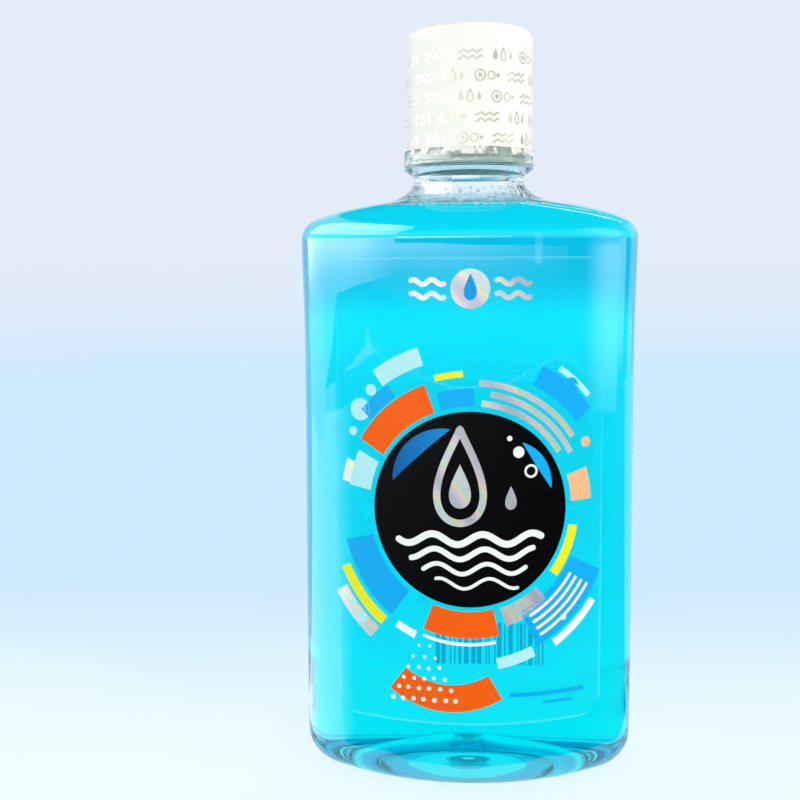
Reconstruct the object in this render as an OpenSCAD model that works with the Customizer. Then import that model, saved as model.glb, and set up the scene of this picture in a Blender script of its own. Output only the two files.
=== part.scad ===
// Mouthwash bottle: a flattened oval clear bottle filled with blue rinse, a film label on its
// front and back, and a double-walled measuring cap with a printed film sleeve shrunk over it.
// Millimetres. Z is up, X runs across the wide face, and the front label looks along -Y.
// The origin is the middle of the standing face.

/* [Body] */
// Width of the bottle across its two rounded sides, at the foot
body_w = 91.4; // [86:0.2:104]
// Depth of the bottle from front to back, at the foot
body_d = 50.8; // [46:0.2:56]
// Radius of the two rounded sides
side_r = 16.6; // [15.6:0.2:18]
// How far the label panel is drawn in from the foot on every side
waist_in = 0.8; // [0:0.1:1.2]
// Height at which the panel is drawn in most
waist_z = 120; // [80:1:130]
// How far the shoulder is drawn in from the foot on every side
shoulder_in = 0.4; // [0:0.05:0.6]
// Height at which the side wall turns into the shoulder
shoulder_z = 146.2; // [144:0.2:200]
// Thickness of the blown wall
wall = 0.8; // [0.5:0.1:1.2]

/* [Foot] */
// Rounding between the side wall and the standing face
foot_r = 8.4; // [5:0.2:9]
// Width of the flat ring that the bottle stands on, at its two ends
stand_w = 5.4; // [3:0.2:6]
// Rise of the pushed-up middle of the base
push_up = 7; // [2:0.2:12]

/* [Shoulder] */
// How far the shoulder's rounded edge would reach in if it turned a full quarter
corner_in = 4.2; // [3:0.1:5]
// How far the shoulder's rounded edge would rise if it turned a full quarter
corner_h = 5.4; // [4:0.1:7]
// Height of the sloping shoulder above its rounded edge
slope_h = 9; // [7:0.1:16]
// Level of the rinse above the standing face
fill_z = 154.6; // [100:0.2:155.4]

/* [Neck] */
// Outer radius of the neck below its support ring
neck_r = 14.8; // [14.4:0.1:16]
// Inner radius of the neck below its support ring
neck_in_r = 13.3; // [12.8:0.1:13.6]
// Height of the bare neck between the shoulder and the support ring
neck_h = 2.6; // [2:0.1:6]
// Radius of the support ring
ring_r = 17.3; // [16.6:0.1:19]
// Height of the support ring's outer edge
ring_edge = 0.7; // [0.4:0.1:1.5]
// Height of the slope under the support ring
ring_slope = 1.4; // [0.8:0.1:2.5]
// Height of the threaded neck above the support ring
finish_h = 17.5; // [17:0.1:22]
// Outer radius of the threaded neck's wall
finish_r = 12.6; // [12.4:0.05:12.7]
// Radius of the pouring mouth
mouth_r = 10.8; // [9:0.1:11.2]

/* [Thread] */
// Rise of the thread in one turn
thread_lead = 4.233; // [4:0.001:4.5]
// Turns of thread on the neck and in the cap
thread_turns = 1.5; // [1:0.25:2]
// How far the neck's thread stands out
thread_out = 1.2; // [0.8:0.05:1.25]
// Width of a thread where it leaves its wall
thread_root_w = 2.5; // [1.6:0.1:2.6]
// Width of a thread at its crest
thread_crest_w = 1.15; // [0.8:0.05:1.2]
// Distance from the mouth down to the top end of the neck's thread
thread_drop = 2.65; // [2.5:0.05:3]

/* [Cap] */
// Outer radius of the measuring cap at its skirt
cap_r = 17; // [16.8:0.1:18]
// How much narrower the cap is at its top
cap_draft = 0.42; // [0:0.02:0.6]
// Height of the measuring cap
cap_h = 34.4; // [32:0.1:44]
// Wall of the cap's outer shell
cap_wall = 1.1; // [0.9:0.05:1.15]
// Rounding of the cap's top edge
cap_edge_r = 2; // [1.4:0.1:3]
// How far the shell's rim flares out
rim_out = 0.5; // [0.2:0.05:0.8]
// Height over which the rim flares
rim_h = 3.2; // [2:0.1:3.6]
// Thickness of the shell's closed top
shell_top = 1.2; // [0.8:0.1:2]
// Wall of the threaded inner cup
cup_wall = 1.1; // [0.9:0.05:1.15]
// Inner radius of the dosing end of the inner cup
dose_r = 12.2; // [11.8:0.05:12.4]
// Floor of the dosing end of the inner cup
dose_floor = 0.9; // [0.7:0.1:1.5]
// Drive ribs between the inner cup and the outer shell
rib_count = 30; // [12:1:36]
// Width of one drive rib
rib_w = 1.1; // [0.6:0.1:1.4]

/* [Seal] */
// Inner radius of the lip seal
seal_in_r = 11.3; // [10.8:0.05:11.6]
// Thickness of the lip seal
seal_t = 1.2; // [0.8:0.1:2]

/* [Films] */
// Thickness of the two labels
label_t = 0.1; // [0.08:0.01:0.2]
// Width of each label across its chord
label_w = 70; // [50:1:71]
// Height of each label
label_h = 122; // [80:0.5:122]
// Height of a label's lower edge
label_z = 19.5; // [16:0.5:22]
// Corner radius of a label
label_corner = 6; // [3:0.5:12]
// Thickness of the printed sleeve on the cap
sleeve_t = 0.16; // [0.1:0.01:0.3]
// Length of clear skirt left bare below the sleeve
bare_skirt = 3.8; // [3.7:0.1:8]
// How far the sleeve folds in over the cap's top
sleeve_fold = 4.2; // [3:0.1:8]

/* [Clearances] */
// Gap between parts that seat on each other
seat = 0.05; // [0.03:0.01:0.1]
// Gap between the cap's rim and the support ring
rim_gap = 0.4; // [0.3:0.05:0.8]
// Radial gap between a thread's crest and the wall it faces
crest_gap = 0.3; // [0.25:0.01:0.35]
// Gap along the axis between the pressed flanks of the two threads
flank_gap = 0.2; // [0.1:0.01:0.25]
// Gap between the drive ribs and the outer shell
rib_gap = 0.1; // [0.05:0.01:0.15]
// Gap between the inner cup's floor and the shell's top
top_gap = 0.3; // [0.2:0.05:0.5]

/* [Hidden] */
$fn = 96;

// Points along the half side arc and the half front arc of a section
side_n = 6;
front_n = 8;
quarter_n = side_n + front_n;
// Rings up each stretch of the body
dome_shares = [0.25, 0.5, 0.75, 0.92];
foot_steps = 5;
wall_steps = 10;
corner_steps = 4;
// How far the shoulder's rounded edge turns before it runs on into the slope
corner_turn = 70;
// The sloping shoulder, as shares of its way in to the neck and of its height
slope_shares = [[0.13, 0.165], [0.285, 0.29], [0.47, 0.42], [0.65, 0.505], [0.777, 0.568],
                [0.86, 0.65], [0.92, 0.765], [0.965, 0.885], [1, 1]];

// How much smaller the pushed-up middle is than the flat it rises from
push_share = 1 - stand_w / (body_w / 2 - foot_r);

// Heights that follow from the sizes above
corner_top_z = shoulder_z + corner_h * sin(corner_turn);
root_z = corner_top_z + slope_h;
ring_under_z = root_z + neck_h;
ring_top_z = ring_under_z + ring_slope + ring_edge;
lip_z = ring_top_z + finish_h;
rim_z = ring_top_z + rim_gap;
cap_top_z = rim_z + cap_h;

// The blown body ends in a thin collar buried in the moulded neck's wall
bury = 0.2;
collar_h = 1.2;
join_z = root_z + neck_h / 2;
// Rounding of the mouth, and the rise over which the neck's inside narrows to it
lip_r = 0.4;
throat_h = 2.6;

// Thread radii, and how far the cap's thread lies below the neck's when their flanks are
// one flank gap apart. The half widths of two facing threads have the same sum at any radius.
thread_r = finish_r + thread_out;
cup_bore_r = thread_r + crest_gap;
cup_thread_r = finish_r + crest_gap;
cup_r = cup_bore_r + cup_wall;
thread_z = lip_z - thread_drop - thread_lead * thread_turns;
thread_taper = (thread_root_w - thread_crest_w) / 2;
thread_offset = thread_root_w - thread_taper + flank_gap - thread_taper * crest_gap / thread_out;
// How far a thread's section is sunk in its wall, and the turn of one step and of a run-out
thread_sink = 0.3;
thread_step = 12;
thread_fade = 36;

// The ledge that presses the seal, and the bead below it that keeps the seal in the cap
ledge_z = lip_z + seal_t + 2 * seat;
ledge_t = 1;
seal_r = cup_bore_r - crest_gap;
bead_in = 0.6;
bead_h = 0.7;
bead_drop = 0.45;
// The inner cup's foot flange, and the taper of its dosing end
flange_h = 0.9;
flange_up = 0.5;
dose_draft = 0.3;
flange_r = cap_r - cap_wall - rib_gap;
flange_z = rim_z + flange_up;
dose_top_z = cap_top_z - shell_top - top_gap;

// Columns and rows of a label's mesh
label_cols = 20;
label_rows = 6;
label_corner_rows = 3;
// Steps round the cap's top edge
edge_steps = 6;

function mix(a, b, t) = a + (b - a) * t;
function ease(t) = (1 - cos(180 * max(0, min(1, t)))) / 2;
function reverse(list) = [for (k = [len(list) - 1 : -1 : 0]) list[k]];
function flip(faces) = [for (f = faces) [f[0], f[2], f[1]]];

// How far the outer skin is drawn in from the foot's outline at a height
function panel_inset(z) =
    z < waist_z ? waist_in * ease((z - foot_r) / (waist_z - foot_r))
                : mix(waist_in, shoulder_in, ease((z - waist_z) / (shoulder_z - waist_z)));

// Radius of the front and back faces of a section drawn in by an inset
function face_r(inset) =
    let (a = body_w / 2 - side_r, b = body_d / 2)
    (a * a + b * b - side_r * side_r) / (2 * (b - side_r)) - inset;

// Angle from X at which the side arc meets the face arc, and the angle of each point
join_turn = acos((body_w / 2 - side_r) / (face_r(0) - side_r));
function point_turn(j) =
    j < side_n ? join_turn * j / side_n : mix(join_turn, 90, (j - side_n) / front_n);

// A point of a quarter section, which is two arcs, each with its own centre
function skin_point(turn, inset) =
    turn < join_turn
        ? [body_w / 2 - side_r + (side_r - inset) * cos(turn), (side_r - inset) * sin(turn)]
        : [face_r(inset) * cos(turn), body_d / 2 - face_r(0) + face_r(inset) * sin(turn)];

// Index and signs of each point round a whole section
function round_steps() = concat(
    [for (j = [0 : quarter_n - 1]) [j, 1, 1]],
    [for (j = [quarter_n : -1 : 1]) [j, -1, 1]],
    [for (j = [0 : quarter_n - 1]) [j, -1, -1]],
    [for (j = [quarter_n : -1 : 1]) [j, 1, -1]]);

// A station is [inset, height, scale, share of the way in to the neck's circle]
function ring(station, circle_r) = [
    for (step = round_steps())
        let (turn = point_turn(step[0]),
             oval = skin_point(turn, station[0]) * station[2],
             p = mix(oval, [cos(turn), sin(turn)] * circle_r, station[3]))
        [p[0] * step[1], p[1] * step[2], station[1]]];

// Stations of a skin that lies off inside the outer one, from the middle of the base upwards
function base_stations(off) = concat(
    [for (s = dome_shares) [foot_r, off + push_up * (1 - s * s), push_share * s, 0]],
    [[foot_r, off, push_share, 0]],
    [for (k = [0 : foot_steps])
        let (turn = 90 * k / foot_steps, r = foot_r - off)
        [foot_r - r * sin(turn), foot_r - r * cos(turn), 1, 0]]);

function wall_stations(off) = [
    for (k = [1 : wall_steps])
        let (z = mix(foot_r, shoulder_z, k / wall_steps))
        [off + panel_inset(z), z, 1, 0]];

function corner_station(off, turn) =
    [shoulder_in + corner_in - (corner_in - off) * cos(turn),
     shoulder_z + (corner_h - off) * sin(turn), 1, 0];

function shoulder_stations(off) =
    let (start = corner_station(off, corner_turn))
    concat([for (k = [1 : corner_steps]) corner_station(off, corner_turn * k / corner_steps)],
           [for (s = slope_shares) [start[0], mix(start[1], root_z, s[1]), 1, s[0]]]);

function skin_stations(off) =
    concat(base_stations(off), wall_stations(off), shoulder_stations(off));

// A closed skin through a list of rings, ended by one middle point at each end
module loft(rings, first, last) {
    n = len(rings[0]);
    m = len(rings);
    end = 1 + n * m;
    fans = [
        for (i = [0 : n - 1])
            let (j = (i + 1) % n)
            each [[0, 1 + i, 1 + j], [end, end - n + j, end - n + i]]];
    bands = [
        for (k = [0 : m - 2], i = [0 : n - 1])
            let (a = 1 + k * n + i, b = 1 + k * n + (i + 1) % n)
            each [[a, a + n, b + n], [a, b + n, b]]];
    polyhedron(concat([first], [for (r = rings) each r], [last]), concat(fans, bands));
}

// Blown body: the outer skin up to the collar, then the inner skin back down
module blown_body() {
    collar = [[neck_r, -bury], [neck_r - bury, bury], [neck_r - bury, collar_h / 2],
              [neck_in_r + bury, collar_h / 2], [neck_in_r + bury, bury], [neck_in_r, -bury]];
    outer = [for (s = skin_stations(0)) ring(s, neck_r)];
    inner = [for (s = skin_stations(wall)) ring(s, neck_in_r)];
    loft(concat(outer, [for (c = collar) ring([0, join_z + c[1], 1, 1], c[0])], reverse(inner)),
         [0, 0, push_up], [0, 0, push_up + wall]);
}

// Moulded neck: bare neck, support ring, threaded wall and pouring mouth
module neck() {
    rotate_extrude()
        polygon([
            [neck_r, join_z],
            [neck_r, ring_under_z],
            [ring_r - ring_edge / 2, ring_under_z + ring_slope],
            [ring_r, ring_under_z + ring_slope + ring_edge / 2],
            [ring_r, ring_top_z - ring_edge / 4],
            [ring_r - ring_edge / 4, ring_top_z],
            [finish_r, ring_top_z],
            [finish_r, lip_z - lip_r],
            [finish_r - lip_r, lip_z],
            [mouth_r + lip_r, lip_z],
            [mouth_r, lip_z - lip_r],
            [mouth_r, ring_under_z + throat_h],
            [neck_in_r, ring_under_z],
            [neck_in_r, join_z]]);
}

// A helical ridge swept from a four-cornered section, which fades in and out at its ends.
// The side is 1 for a ridge that stands out from a neck and -1 for one inside a cap.
module thread_ridge(wall_r, crest_r, z, side) {
    full_turn = 360 * thread_turns;
    count = floor(full_turn / thread_step);
    n = 4;
    points = [
        for (k = [0 : count])
            let (turn = full_turn * k / count,
                 fade = max(thread_sink / thread_out,
                            min(1, turn / thread_fade, (full_turn - turn) / thread_fade)),
                 crest = mix(wall_r, crest_r, fade),
                 crest_w = mix(thread_root_w, thread_crest_w, fade),
                 root = wall_r - side * thread_sink,
                 h = z + thread_lead * turn / 360)
            each [[root * cos(turn), root * sin(turn), h - thread_root_w / 2],
                  [crest * cos(turn), crest * sin(turn), h - crest_w / 2],
                  [crest * cos(turn), crest * sin(turn), h + crest_w / 2],
                  [root * cos(turn), root * sin(turn), h + thread_root_w / 2]]];
    last = count * n;
    ends = [[0, 1, 2], [0, 2, 3], [last + 2, last + 1, last], [last + 3, last + 2, last]];
    bands = [
        for (k = [0 : count - 1], i = [0 : n - 1])
            let (a = k * n + i, b = k * n + (i + 1) % n)
            each [[a, a + n, b + n], [a, b + n, b]]];
    faces = concat(ends, bands);
    polyhedron(points, side > 0 ? flip(faces) : faces);
}

module bottle() {
    color([0.86, 0.95, 0.98, 0.35]) union() {
        blown_body();
        neck();
        thread_ridge(finish_r, thread_r, thread_z, 1);
    }
}

// The rinse fills the bottle to its level, one seat gap inside the wall
module mouthwash() {
    off = wall + seat;
    stations = skin_stations(off);
    rising = [for (s = stations) if (s[1] >= foot_r) s];
    inset = lookup(fill_z, [for (s = rising) [s[1], s[0]]]);
    way = lookup(fill_z, [for (s = rising) [s[1], s[3]]]);
    filled = [for (s = stations) if (s[1] < fill_z - seat) s];
    color([0.02, 0.75, 0.95, 0.8])
        loft([for (s = concat(filled, [[inset, fill_z, 1, way]])) ring(s, neck_in_r - seat)],
             [0, 0, push_up + off], [0, 0, fill_z]);
}

// Angle of the skin's outline at a way across from the middle
function skin_turn(way, inset) =
    way < face_r(inset) * cos(join_turn)
        ? acos(way / face_r(inset))
        : acos((way - body_w / 2 + side_r) / (side_r - inset));

// Half width of a label at a height above its lower edge, with rounded corners
function label_half(h) =
    let (c = max(0, label_corner - min(h, label_h - h)))
    label_w / 2 - label_corner + sqrt(pow(label_corner, 2) - c * c);

// A film that follows the front face
module label_film() {
    corner = [for (k = [0 : label_corner_rows])
        label_corner * (1 - cos(90 * k / label_corner_rows))];
    middle = [for (k = [1 : label_rows - 1])
        mix(label_corner, label_h - label_corner, k / label_rows)];
    heights = concat(corner, middle, reverse([for (c = corner) label_h - c]));
    cols = label_cols + 1;
    rows = len(heights);
    outer = rows * cols;
    function face(out) = [
        for (h = heights, i = [0 : label_cols])
            let (inset = panel_inset(label_z + h),
                 across = 2 * i / label_cols - 1,
                 turn = mix(90, skin_turn(label_half(h), inset), abs(across)),
                 p = skin_point(turn, inset - out))
            [p[0] * sign(across), -p[1], label_z + h]];
    faces = [
        for (k = [0 : rows - 2], i = [0 : cols - 2])
            let (a = k * cols + i, b = a + cols, c = outer + a, d = outer + b)
            each [[a, b + 1, a + 1], [a, b, b + 1], [c, c + 1, d + 1], [c, d + 1, d]]];
    left = [
        for (k = [0 : rows - 2])
            let (a = k * cols, b = a + cols)
            each [[a, outer + a, outer + b], [a, outer + b, b]]];
    right = [for (f = flip(left)) [for (v = f) v + label_cols]];
    bottom = [
        for (i = [0 : cols - 2])
            each [[i, i + 1, outer + i + 1], [i, outer + i + 1, outer + i]]];
    top = [for (f = flip(bottom)) [for (v = f) v + (rows - 1) * cols]];
    polyhedron(concat(face(seat), face(seat + label_t)), concat(faces, left, right, bottom, top));
}

module front_label() {
    color([0.9, 0.97, 1, 0.4]) label_film();
}

module back_label() {
    color([0.9, 0.97, 1, 0.4]) rotate([0, 0, 180]) label_film();
}

function arc(cx, cz, r, from, to) = [
    for (k = [0 : edge_steps])
        let (turn = mix(from, to, k / edge_steps))
        [cx + r * cos(turn), cz + r * sin(turn)]];

// Outer radius of the shell's wall at a height, and the centre of its top edge's rounding
function shell_r(z) = cap_r - cap_draft * (z - rim_z) / cap_h;
edge_z = cap_top_z - cap_edge_r;
edge_x = shell_r(edge_z) - cap_edge_r;

// Outer shell of the cap: a clear cup turned over, with a flared rim
module cap_outer_shell() {
    crown_r = shell_r(cap_top_z) - cap_wall;
    crown_z = cap_top_z - shell_top;
    color([0.93, 0.97, 0.98, 0.35])
        rotate_extrude() polygon(concat(
            [[cap_r + rim_out - cap_wall / 4, rim_z],
             [cap_r + rim_out, rim_z + cap_wall / 4],
             [cap_r + rim_out, rim_z + cap_wall],
             [shell_r(rim_z + rim_h), rim_z + rim_h]],
            arc(edge_x, edge_z, cap_edge_r, 0, 90),
            [[0, cap_top_z],
             [0, crown_z],
             [crown_r - cap_wall, crown_z],
             [crown_r, crown_z - cap_wall],
             [cap_r - cap_wall, rim_z]]));
}

// Threaded cup inside the shell. Its narrow end is the dose, and its ledge presses the seal.
module cap_inner_cup() {
    rib_in_r = cup_r - cup_wall / 2;
    rib_z = flange_z + flange_h / 2;
    rib_out_r = flange_r - cap_draft * (ledge_z - rim_z) / cap_h;
    color([0.95, 0.97, 0.98, 0.5]) union() {
        rotate_extrude()
            polygon([
                [cup_bore_r, flange_z],
                [flange_r, flange_z],
                [flange_r, flange_z + flange_h],
                [cup_r, flange_z + flange_h],
                [cup_r, ledge_z + ledge_t],
                [dose_r + cup_wall, ledge_z + ledge_t],
                [dose_r + cup_wall - dose_draft, dose_top_z],
                [0, dose_top_z],
                [0, dose_top_z - dose_floor],
                [dose_r - dose_draft, dose_top_z - dose_floor],
                [dose_r, ledge_z],
                [cup_bore_r, ledge_z],
                [cup_bore_r, lip_z - bead_drop + bead_h / 2],
                [cup_bore_r - bead_in, lip_z - bead_drop],
                [cup_bore_r, lip_z - bead_drop - bead_h / 2]]);
        thread_ridge(cup_bore_r, cup_thread_r, thread_z - thread_offset, -1);
        for (k = [0 : rib_count - 1])
            rotate([0, 0, 360 * k / rib_count])
                translate([rib_in_r, -rib_w / 2, rib_z])
                    cube([rib_out_r - rib_in_r, rib_w, ledge_z - rib_z]);
    }
}

module lip_seal() {
    color([0.93, 0.94, 0.93])
        rotate_extrude()
            translate([seal_in_r, lip_z + seat])
                square([seal_r - seal_in_r, seal_t]);
}

// Printed film shrunk over the shell, folded in over its top edge
module shrink_sleeve() {
    low_z = rim_z + bare_skirt;
    out = seat + sleeve_t;
    color([0.98, 0.98, 0.97])
        rotate_extrude() polygon(concat(
            [[shell_r(low_z) + out, low_z]],
            arc(edge_x, edge_z, cap_edge_r + out, 0, 90),
            [[edge_x - sleeve_fold, cap_top_z + out],
             [edge_x - sleeve_fold, cap_top_z + seat]],
            arc(edge_x, edge_z, cap_edge_r + seat, 90, 0),
            [[shell_r(low_z) + seat, low_z]]));
}

bottle();
mouthwash();
front_label();
back_label();
cap_outer_shell();
cap_inner_cup();
lip_seal();
shrink_sleeve();
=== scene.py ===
"""Mouthwash bottle: a clear flattened bottle of blue rinse with a printed film label on its front
and back, and a double-walled measuring cap with a printed film sleeve shrunk over it.
Lengths are metres. Z is up, X runs across the wide face, and the front label looks along -Y."""

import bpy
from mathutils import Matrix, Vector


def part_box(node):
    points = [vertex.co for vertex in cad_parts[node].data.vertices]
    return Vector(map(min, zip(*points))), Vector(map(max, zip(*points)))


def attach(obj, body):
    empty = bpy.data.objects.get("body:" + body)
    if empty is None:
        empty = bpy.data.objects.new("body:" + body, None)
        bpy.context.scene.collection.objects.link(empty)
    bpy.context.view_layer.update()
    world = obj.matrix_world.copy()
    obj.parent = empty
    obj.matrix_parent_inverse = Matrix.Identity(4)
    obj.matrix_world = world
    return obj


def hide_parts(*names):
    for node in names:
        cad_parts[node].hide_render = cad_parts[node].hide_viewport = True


bl_info = {
    "name": "Mouthwash Bottle",
    "version": (1, 0, 0),
    "blender": (4, 5, 0),
    "location": "View3D > Sidebar > Bottle",
    "description": "Builds a bottle of mouthwash, its labels, its measuring cap and a plain studio",
    "category": "Add Mesh",
}

import math
import random

import bmesh
import bpy
import numpy as np
from mathutils import Matrix, Vector

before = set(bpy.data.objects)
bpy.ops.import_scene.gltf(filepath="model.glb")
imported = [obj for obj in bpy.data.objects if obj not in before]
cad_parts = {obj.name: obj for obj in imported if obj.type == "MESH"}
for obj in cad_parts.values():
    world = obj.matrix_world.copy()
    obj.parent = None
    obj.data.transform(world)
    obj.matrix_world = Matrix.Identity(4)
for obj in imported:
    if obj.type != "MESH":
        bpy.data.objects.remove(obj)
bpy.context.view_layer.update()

MM = 0.001
BOTTLE_LOW, BOTTLE_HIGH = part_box("bottle")
CAP_LOW, CAP_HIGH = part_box("cap_outer_shell")
LABEL_LOW, LABEL_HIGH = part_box("front_label")


# Properties

def length(name, description, metres):
    """A length that a user may change."""
    return bpy.props.FloatProperty(name=name, description=description, default=metres,
                                   min=0, precision=5, unit="LENGTH")


def number(name, description, value):
    """A plain number that a user may change."""
    return bpy.props.FloatProperty(name=name, description=description, default=value, min=0)


def linear(red, green, blue):
    """A screen colour, each part from 0 to 255, as the linear colour that shaders take."""
    def one(part):
        part /= 255
        return part / 12.92 if part <= 0.04045 else ((part + 0.055) / 1.055) ** 2.4
    return one(red), one(green), one(blue)


def colour(name, description, red, green, blue):
    """A colour that a user may change."""
    return bpy.props.FloatVectorProperty(name=name, description=description, size=3, min=0, max=1,
                                         default=linear(red, green, blue), subtype="COLOR")


class BottleSizes(bpy.types.PropertyGroup):
    """Sizes of the blown bottle and its moulded neck, the same as the frame's."""
    body_w: length("Body width", "Width across the two rounded sides", BOTTLE_HIGH[0] - BOTTLE_LOW[0])
    body_d: length("Body depth", "Depth from front to back", 50.8 * MM)
    side_r: length("Side radius", "Radius of the two rounded sides", 16.6 * MM)
    waist_in: length("Waist", "How far the label panel is drawn in", 0.8 * MM)
    waist_z: length("Waist height", "Height at which the panel is drawn in most", 120 * MM)
    shoulder_in: length("Shoulder inset", "How far the shoulder is drawn in", 0.4 * MM)
    shoulder_z: length("Shoulder height", "Height at which the wall turns in", 146.2 * MM)
    wall: length("Wall", "Thickness of the blown wall", 0.8 * MM)
    foot_r: length("Foot rounding", "Rounding between the wall and the standing face", 8.4 * MM)
    stand_w: length("Standing ring", "Width of the ring that the bottle stands on", 5.4 * MM)
    push_up: length("Push-up", "Rise of the middle of the base", 7 * MM)
    corner_in: length("Corner reach", "How far the shoulder's edge reaches in", 4.2 * MM)
    corner_h: length("Corner rise", "How far the shoulder's edge rises", 5.4 * MM)
    slope_h: length("Slope height", "Height of the sloping shoulder", 9 * MM)
    neck_r: length("Neck radius", "Outer radius of the bare neck", 14.8 * MM)
    neck_in_r: length("Neck bore", "Inner radius of the bare neck", 13.3 * MM)
    neck_h: length("Bare neck", "Height of the bare neck", 2.6 * MM)
    ring_r: length("Support ring", "Radius of the support ring", 17.3 * MM)
    finish_r: length("Finish radius", "Outer radius of the threaded wall", 12.6 * MM)
    mouth_r: length("Mouth radius", "Radius of the pouring mouth", 10.8 * MM)
    thread_out: length("Thread depth", "How far the thread stands out", 1.2 * MM)
    thread_lead: length("Thread lead", "Rise of the thread in one turn", 4.233 * MM)
    fill_z: length("Fill height", "Level of the rinse", 154.6 * MM)


class CapSizes(bpy.types.PropertyGroup):
    """Sizes of the measuring cap and its sleeve, the same as the frame's."""
    cap_r: length("Cap radius", "Outer radius at the skirt", 17 * MM)
    draft: length("Draft", "How much narrower the cap is at its top", 0.42 * MM)
    rim_z: length("Rim height", "Height of the cap's rim on the bottle", CAP_LOW[2])
    top_z: length("Top height", "Height of the cap's top on the bottle", CAP_HIGH[2])
    wall: length("Shell wall", "Wall of the outer shell", 1.1 * MM)
    edge_r: length("Edge rounding", "Rounding of the top edge", 2 * MM)
    rim_out: length("Rim flare", "How far the rim flares out", 0.5 * MM)
    bare_skirt: length("Bare skirt", "Clear skirt left bare under the sleeve", 3.8 * MM)
    sleeve_fold: length("Sleeve fold", "How far the sleeve folds in over the top", 4.2 * MM)
    sleeve_t: length("Sleeve film", "Thickness of the sleeve's film", 0.08 * MM)
    motif_pitch: length("Print pitch", "Spacing of the print's rows", 5.1 * MM)


class LabelSizes(bpy.types.PropertyGroup):
    """Sizes of the two film labels, the same as the frame's."""
    width: length("Label width", "Width of a label across its chord", LABEL_HIGH[0] - LABEL_LOW[0])
    low_z: length("Label foot", "Height of a label's lower edge", LABEL_LOW[2])
    height: length("Label height", "Height of a label", LABEL_HIGH[2] - LABEL_LOW[2])
    corner: length("Label corner", "Corner radius of a label", 6 * MM)
    film_t: length("Film", "Thickness of a label's film", 0.055 * MM)
    ink_t: length("Ink", "Thickness of one layer of ink", 0.011 * MM)


class BottleColours(bpy.types.PropertyGroup):
    """Colours of the plastics, the rinse and the inks."""
    plastic: colour("Bottle", "Tint of the clear bottle", 251, 254, 255)
    shell: colour("Cap shell", "Tint of the cap's clear shell", 243, 250, 245)
    cup: colour("Inner cup", "Colour of the natural inner cup", 244, 249, 245)
    sleeve: colour("Sleeve", "Colour of the cap's sleeve", 253, 252, 245)
    foil: colour("Sleeve foil", "Colour of the sleeve's foil print", 222, 216, 202)
    seal: colour("Seal", "Colour of the lip seal's foam", 238, 239, 236)
    black: colour("Black ink", "Near-black ink", 5, 6, 9)
    orange: colour("Orange ink", "Orange ink", 255, 98, 2)
    yellow: colour("Yellow ink", "Yellow ink", 249, 240, 30)
    blue: colour("Blue ink", "Light blue ink", 6, 176, 247)
    navy: colour("Deep blue ink", "Deep blue ink", 8, 92, 170)
    aqua: colour("Aqua ink", "Pale aqua ink", 186, 243, 250)
    peach: colour("Peach ink", "Peach ink", 250, 190, 140)
    white: colour("White ink", "White ink", 248, 250, 250)
    rinse_depth: number("Rinse density", "How strongly the rinse takes up light, per metre", 170)


class StageLook(bpy.types.PropertyGroup):
    """Colours and levels of the studio."""
    sky: colour("Upper backdrop", "Colour of the upper backdrop", 228, 236, 249)
    low: colour("Lower backdrop", "Colour of the lower backdrop", 205, 233, 253)
    floor: colour("Floor", "Colour of the floor near the bottle", 239, 254, 255)
    back_low: colour("Lower back light", "What glass shows of the lower backdrop", 222, 238, 255)
    back_mid: colour("Middle back light", "What glass shows of the middle of the backdrop", 200, 196, 230)
    back_high: colour("Upper back light", "What glass shows of the upper backdrop", 238, 242, 246)
    # Painted light: the next three are the colours in which the dark cards glow for rays seen through glass
    card_glow: colour("Card tint", "What glass shows of the dark cards", 60, 195, 226)
    pale_glow: colour("Upper card tint", "What the cap and neck show of the dark cards", 206, 216, 214)
    table_glow: colour("Table tint", "What glass shows of the dark table", 10, 210, 243)
    back_level: number("Back light", "Level of the backdrop seen through glass", 1.1)
    level: number("Room light", "Level of the room's even light", 1.17)
    side_box: number("Left window", "Level of the bright window at the left", 9)
    soft_box: number("Left soft light", "Level of the soft light from the left", 0.15)
    front_box: number("Front softbox", "Level of the low softbox in front", 4.2)
    cap_box: number("Cap softbox", "Level of the softbox in front of the cap's skirt", 11)
    right_box: number("Right softbox", "Level of the softboxes at the right", 4.2)
    top_box: number("Top strip", "Level of the strip light overhead", 8)


GROUPS = {"bottle_sizes": BottleSizes, "cap_sizes": CapSizes, "label_sizes": LabelSizes,
          "bottle_colours": BottleColours, "stage_look": StageLook}


# Mesh building

def ease(t):
    """A smooth step from 0 to 1."""
    return (1 - np.cos(np.pi * np.clip(t, 0, 1))) / 2


def finished(name, bm, sharp=40):
    """An object from a bmesh, with clean normals, smooth faces and sharp edges past an angle."""
    bmesh.ops.remove_doubles(bm, verts=bm.verts, dist=2e-8)
    bmesh.ops.dissolve_degenerate(bm, edges=bm.edges, dist=1e-8)
    bmesh.ops.recalc_face_normals(bm, faces=bm.faces)
    mesh = bpy.data.meshes.new(name)
    bm.to_mesh(mesh)
    bm.free()
    mesh.shade_smooth()
    mesh.set_sharp_from_angle(angle=math.radians(sharp))
    obj = bpy.data.objects.new(name, mesh)
    bpy.context.scene.collection.objects.link(obj)
    return obj


def add_rings(bm, rings, first=None, last=None, wrap=False):
    """A skin through rings of points, closed by an end point at each end or wrapped round."""
    rows = [[bm.verts.new(p) for p in ring] for ring in rings]
    count = len(rows[0])
    for k in range(len(rows) if wrap else len(rows) - 1):
        a, b = rows[k], rows[(k + 1) % len(rows)]
        for i in range(count):
            j = (i + 1) % count
            bm.faces.new((a[i], a[j], b[j], b[i]))
    for row, end in ((rows[0], first), (rows[-1], last)):
        if end is not None:
            tip = bm.verts.new(end)
            for i in range(count):
                bm.faces.new((row[i], row[(i + 1) % count], tip))


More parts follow.
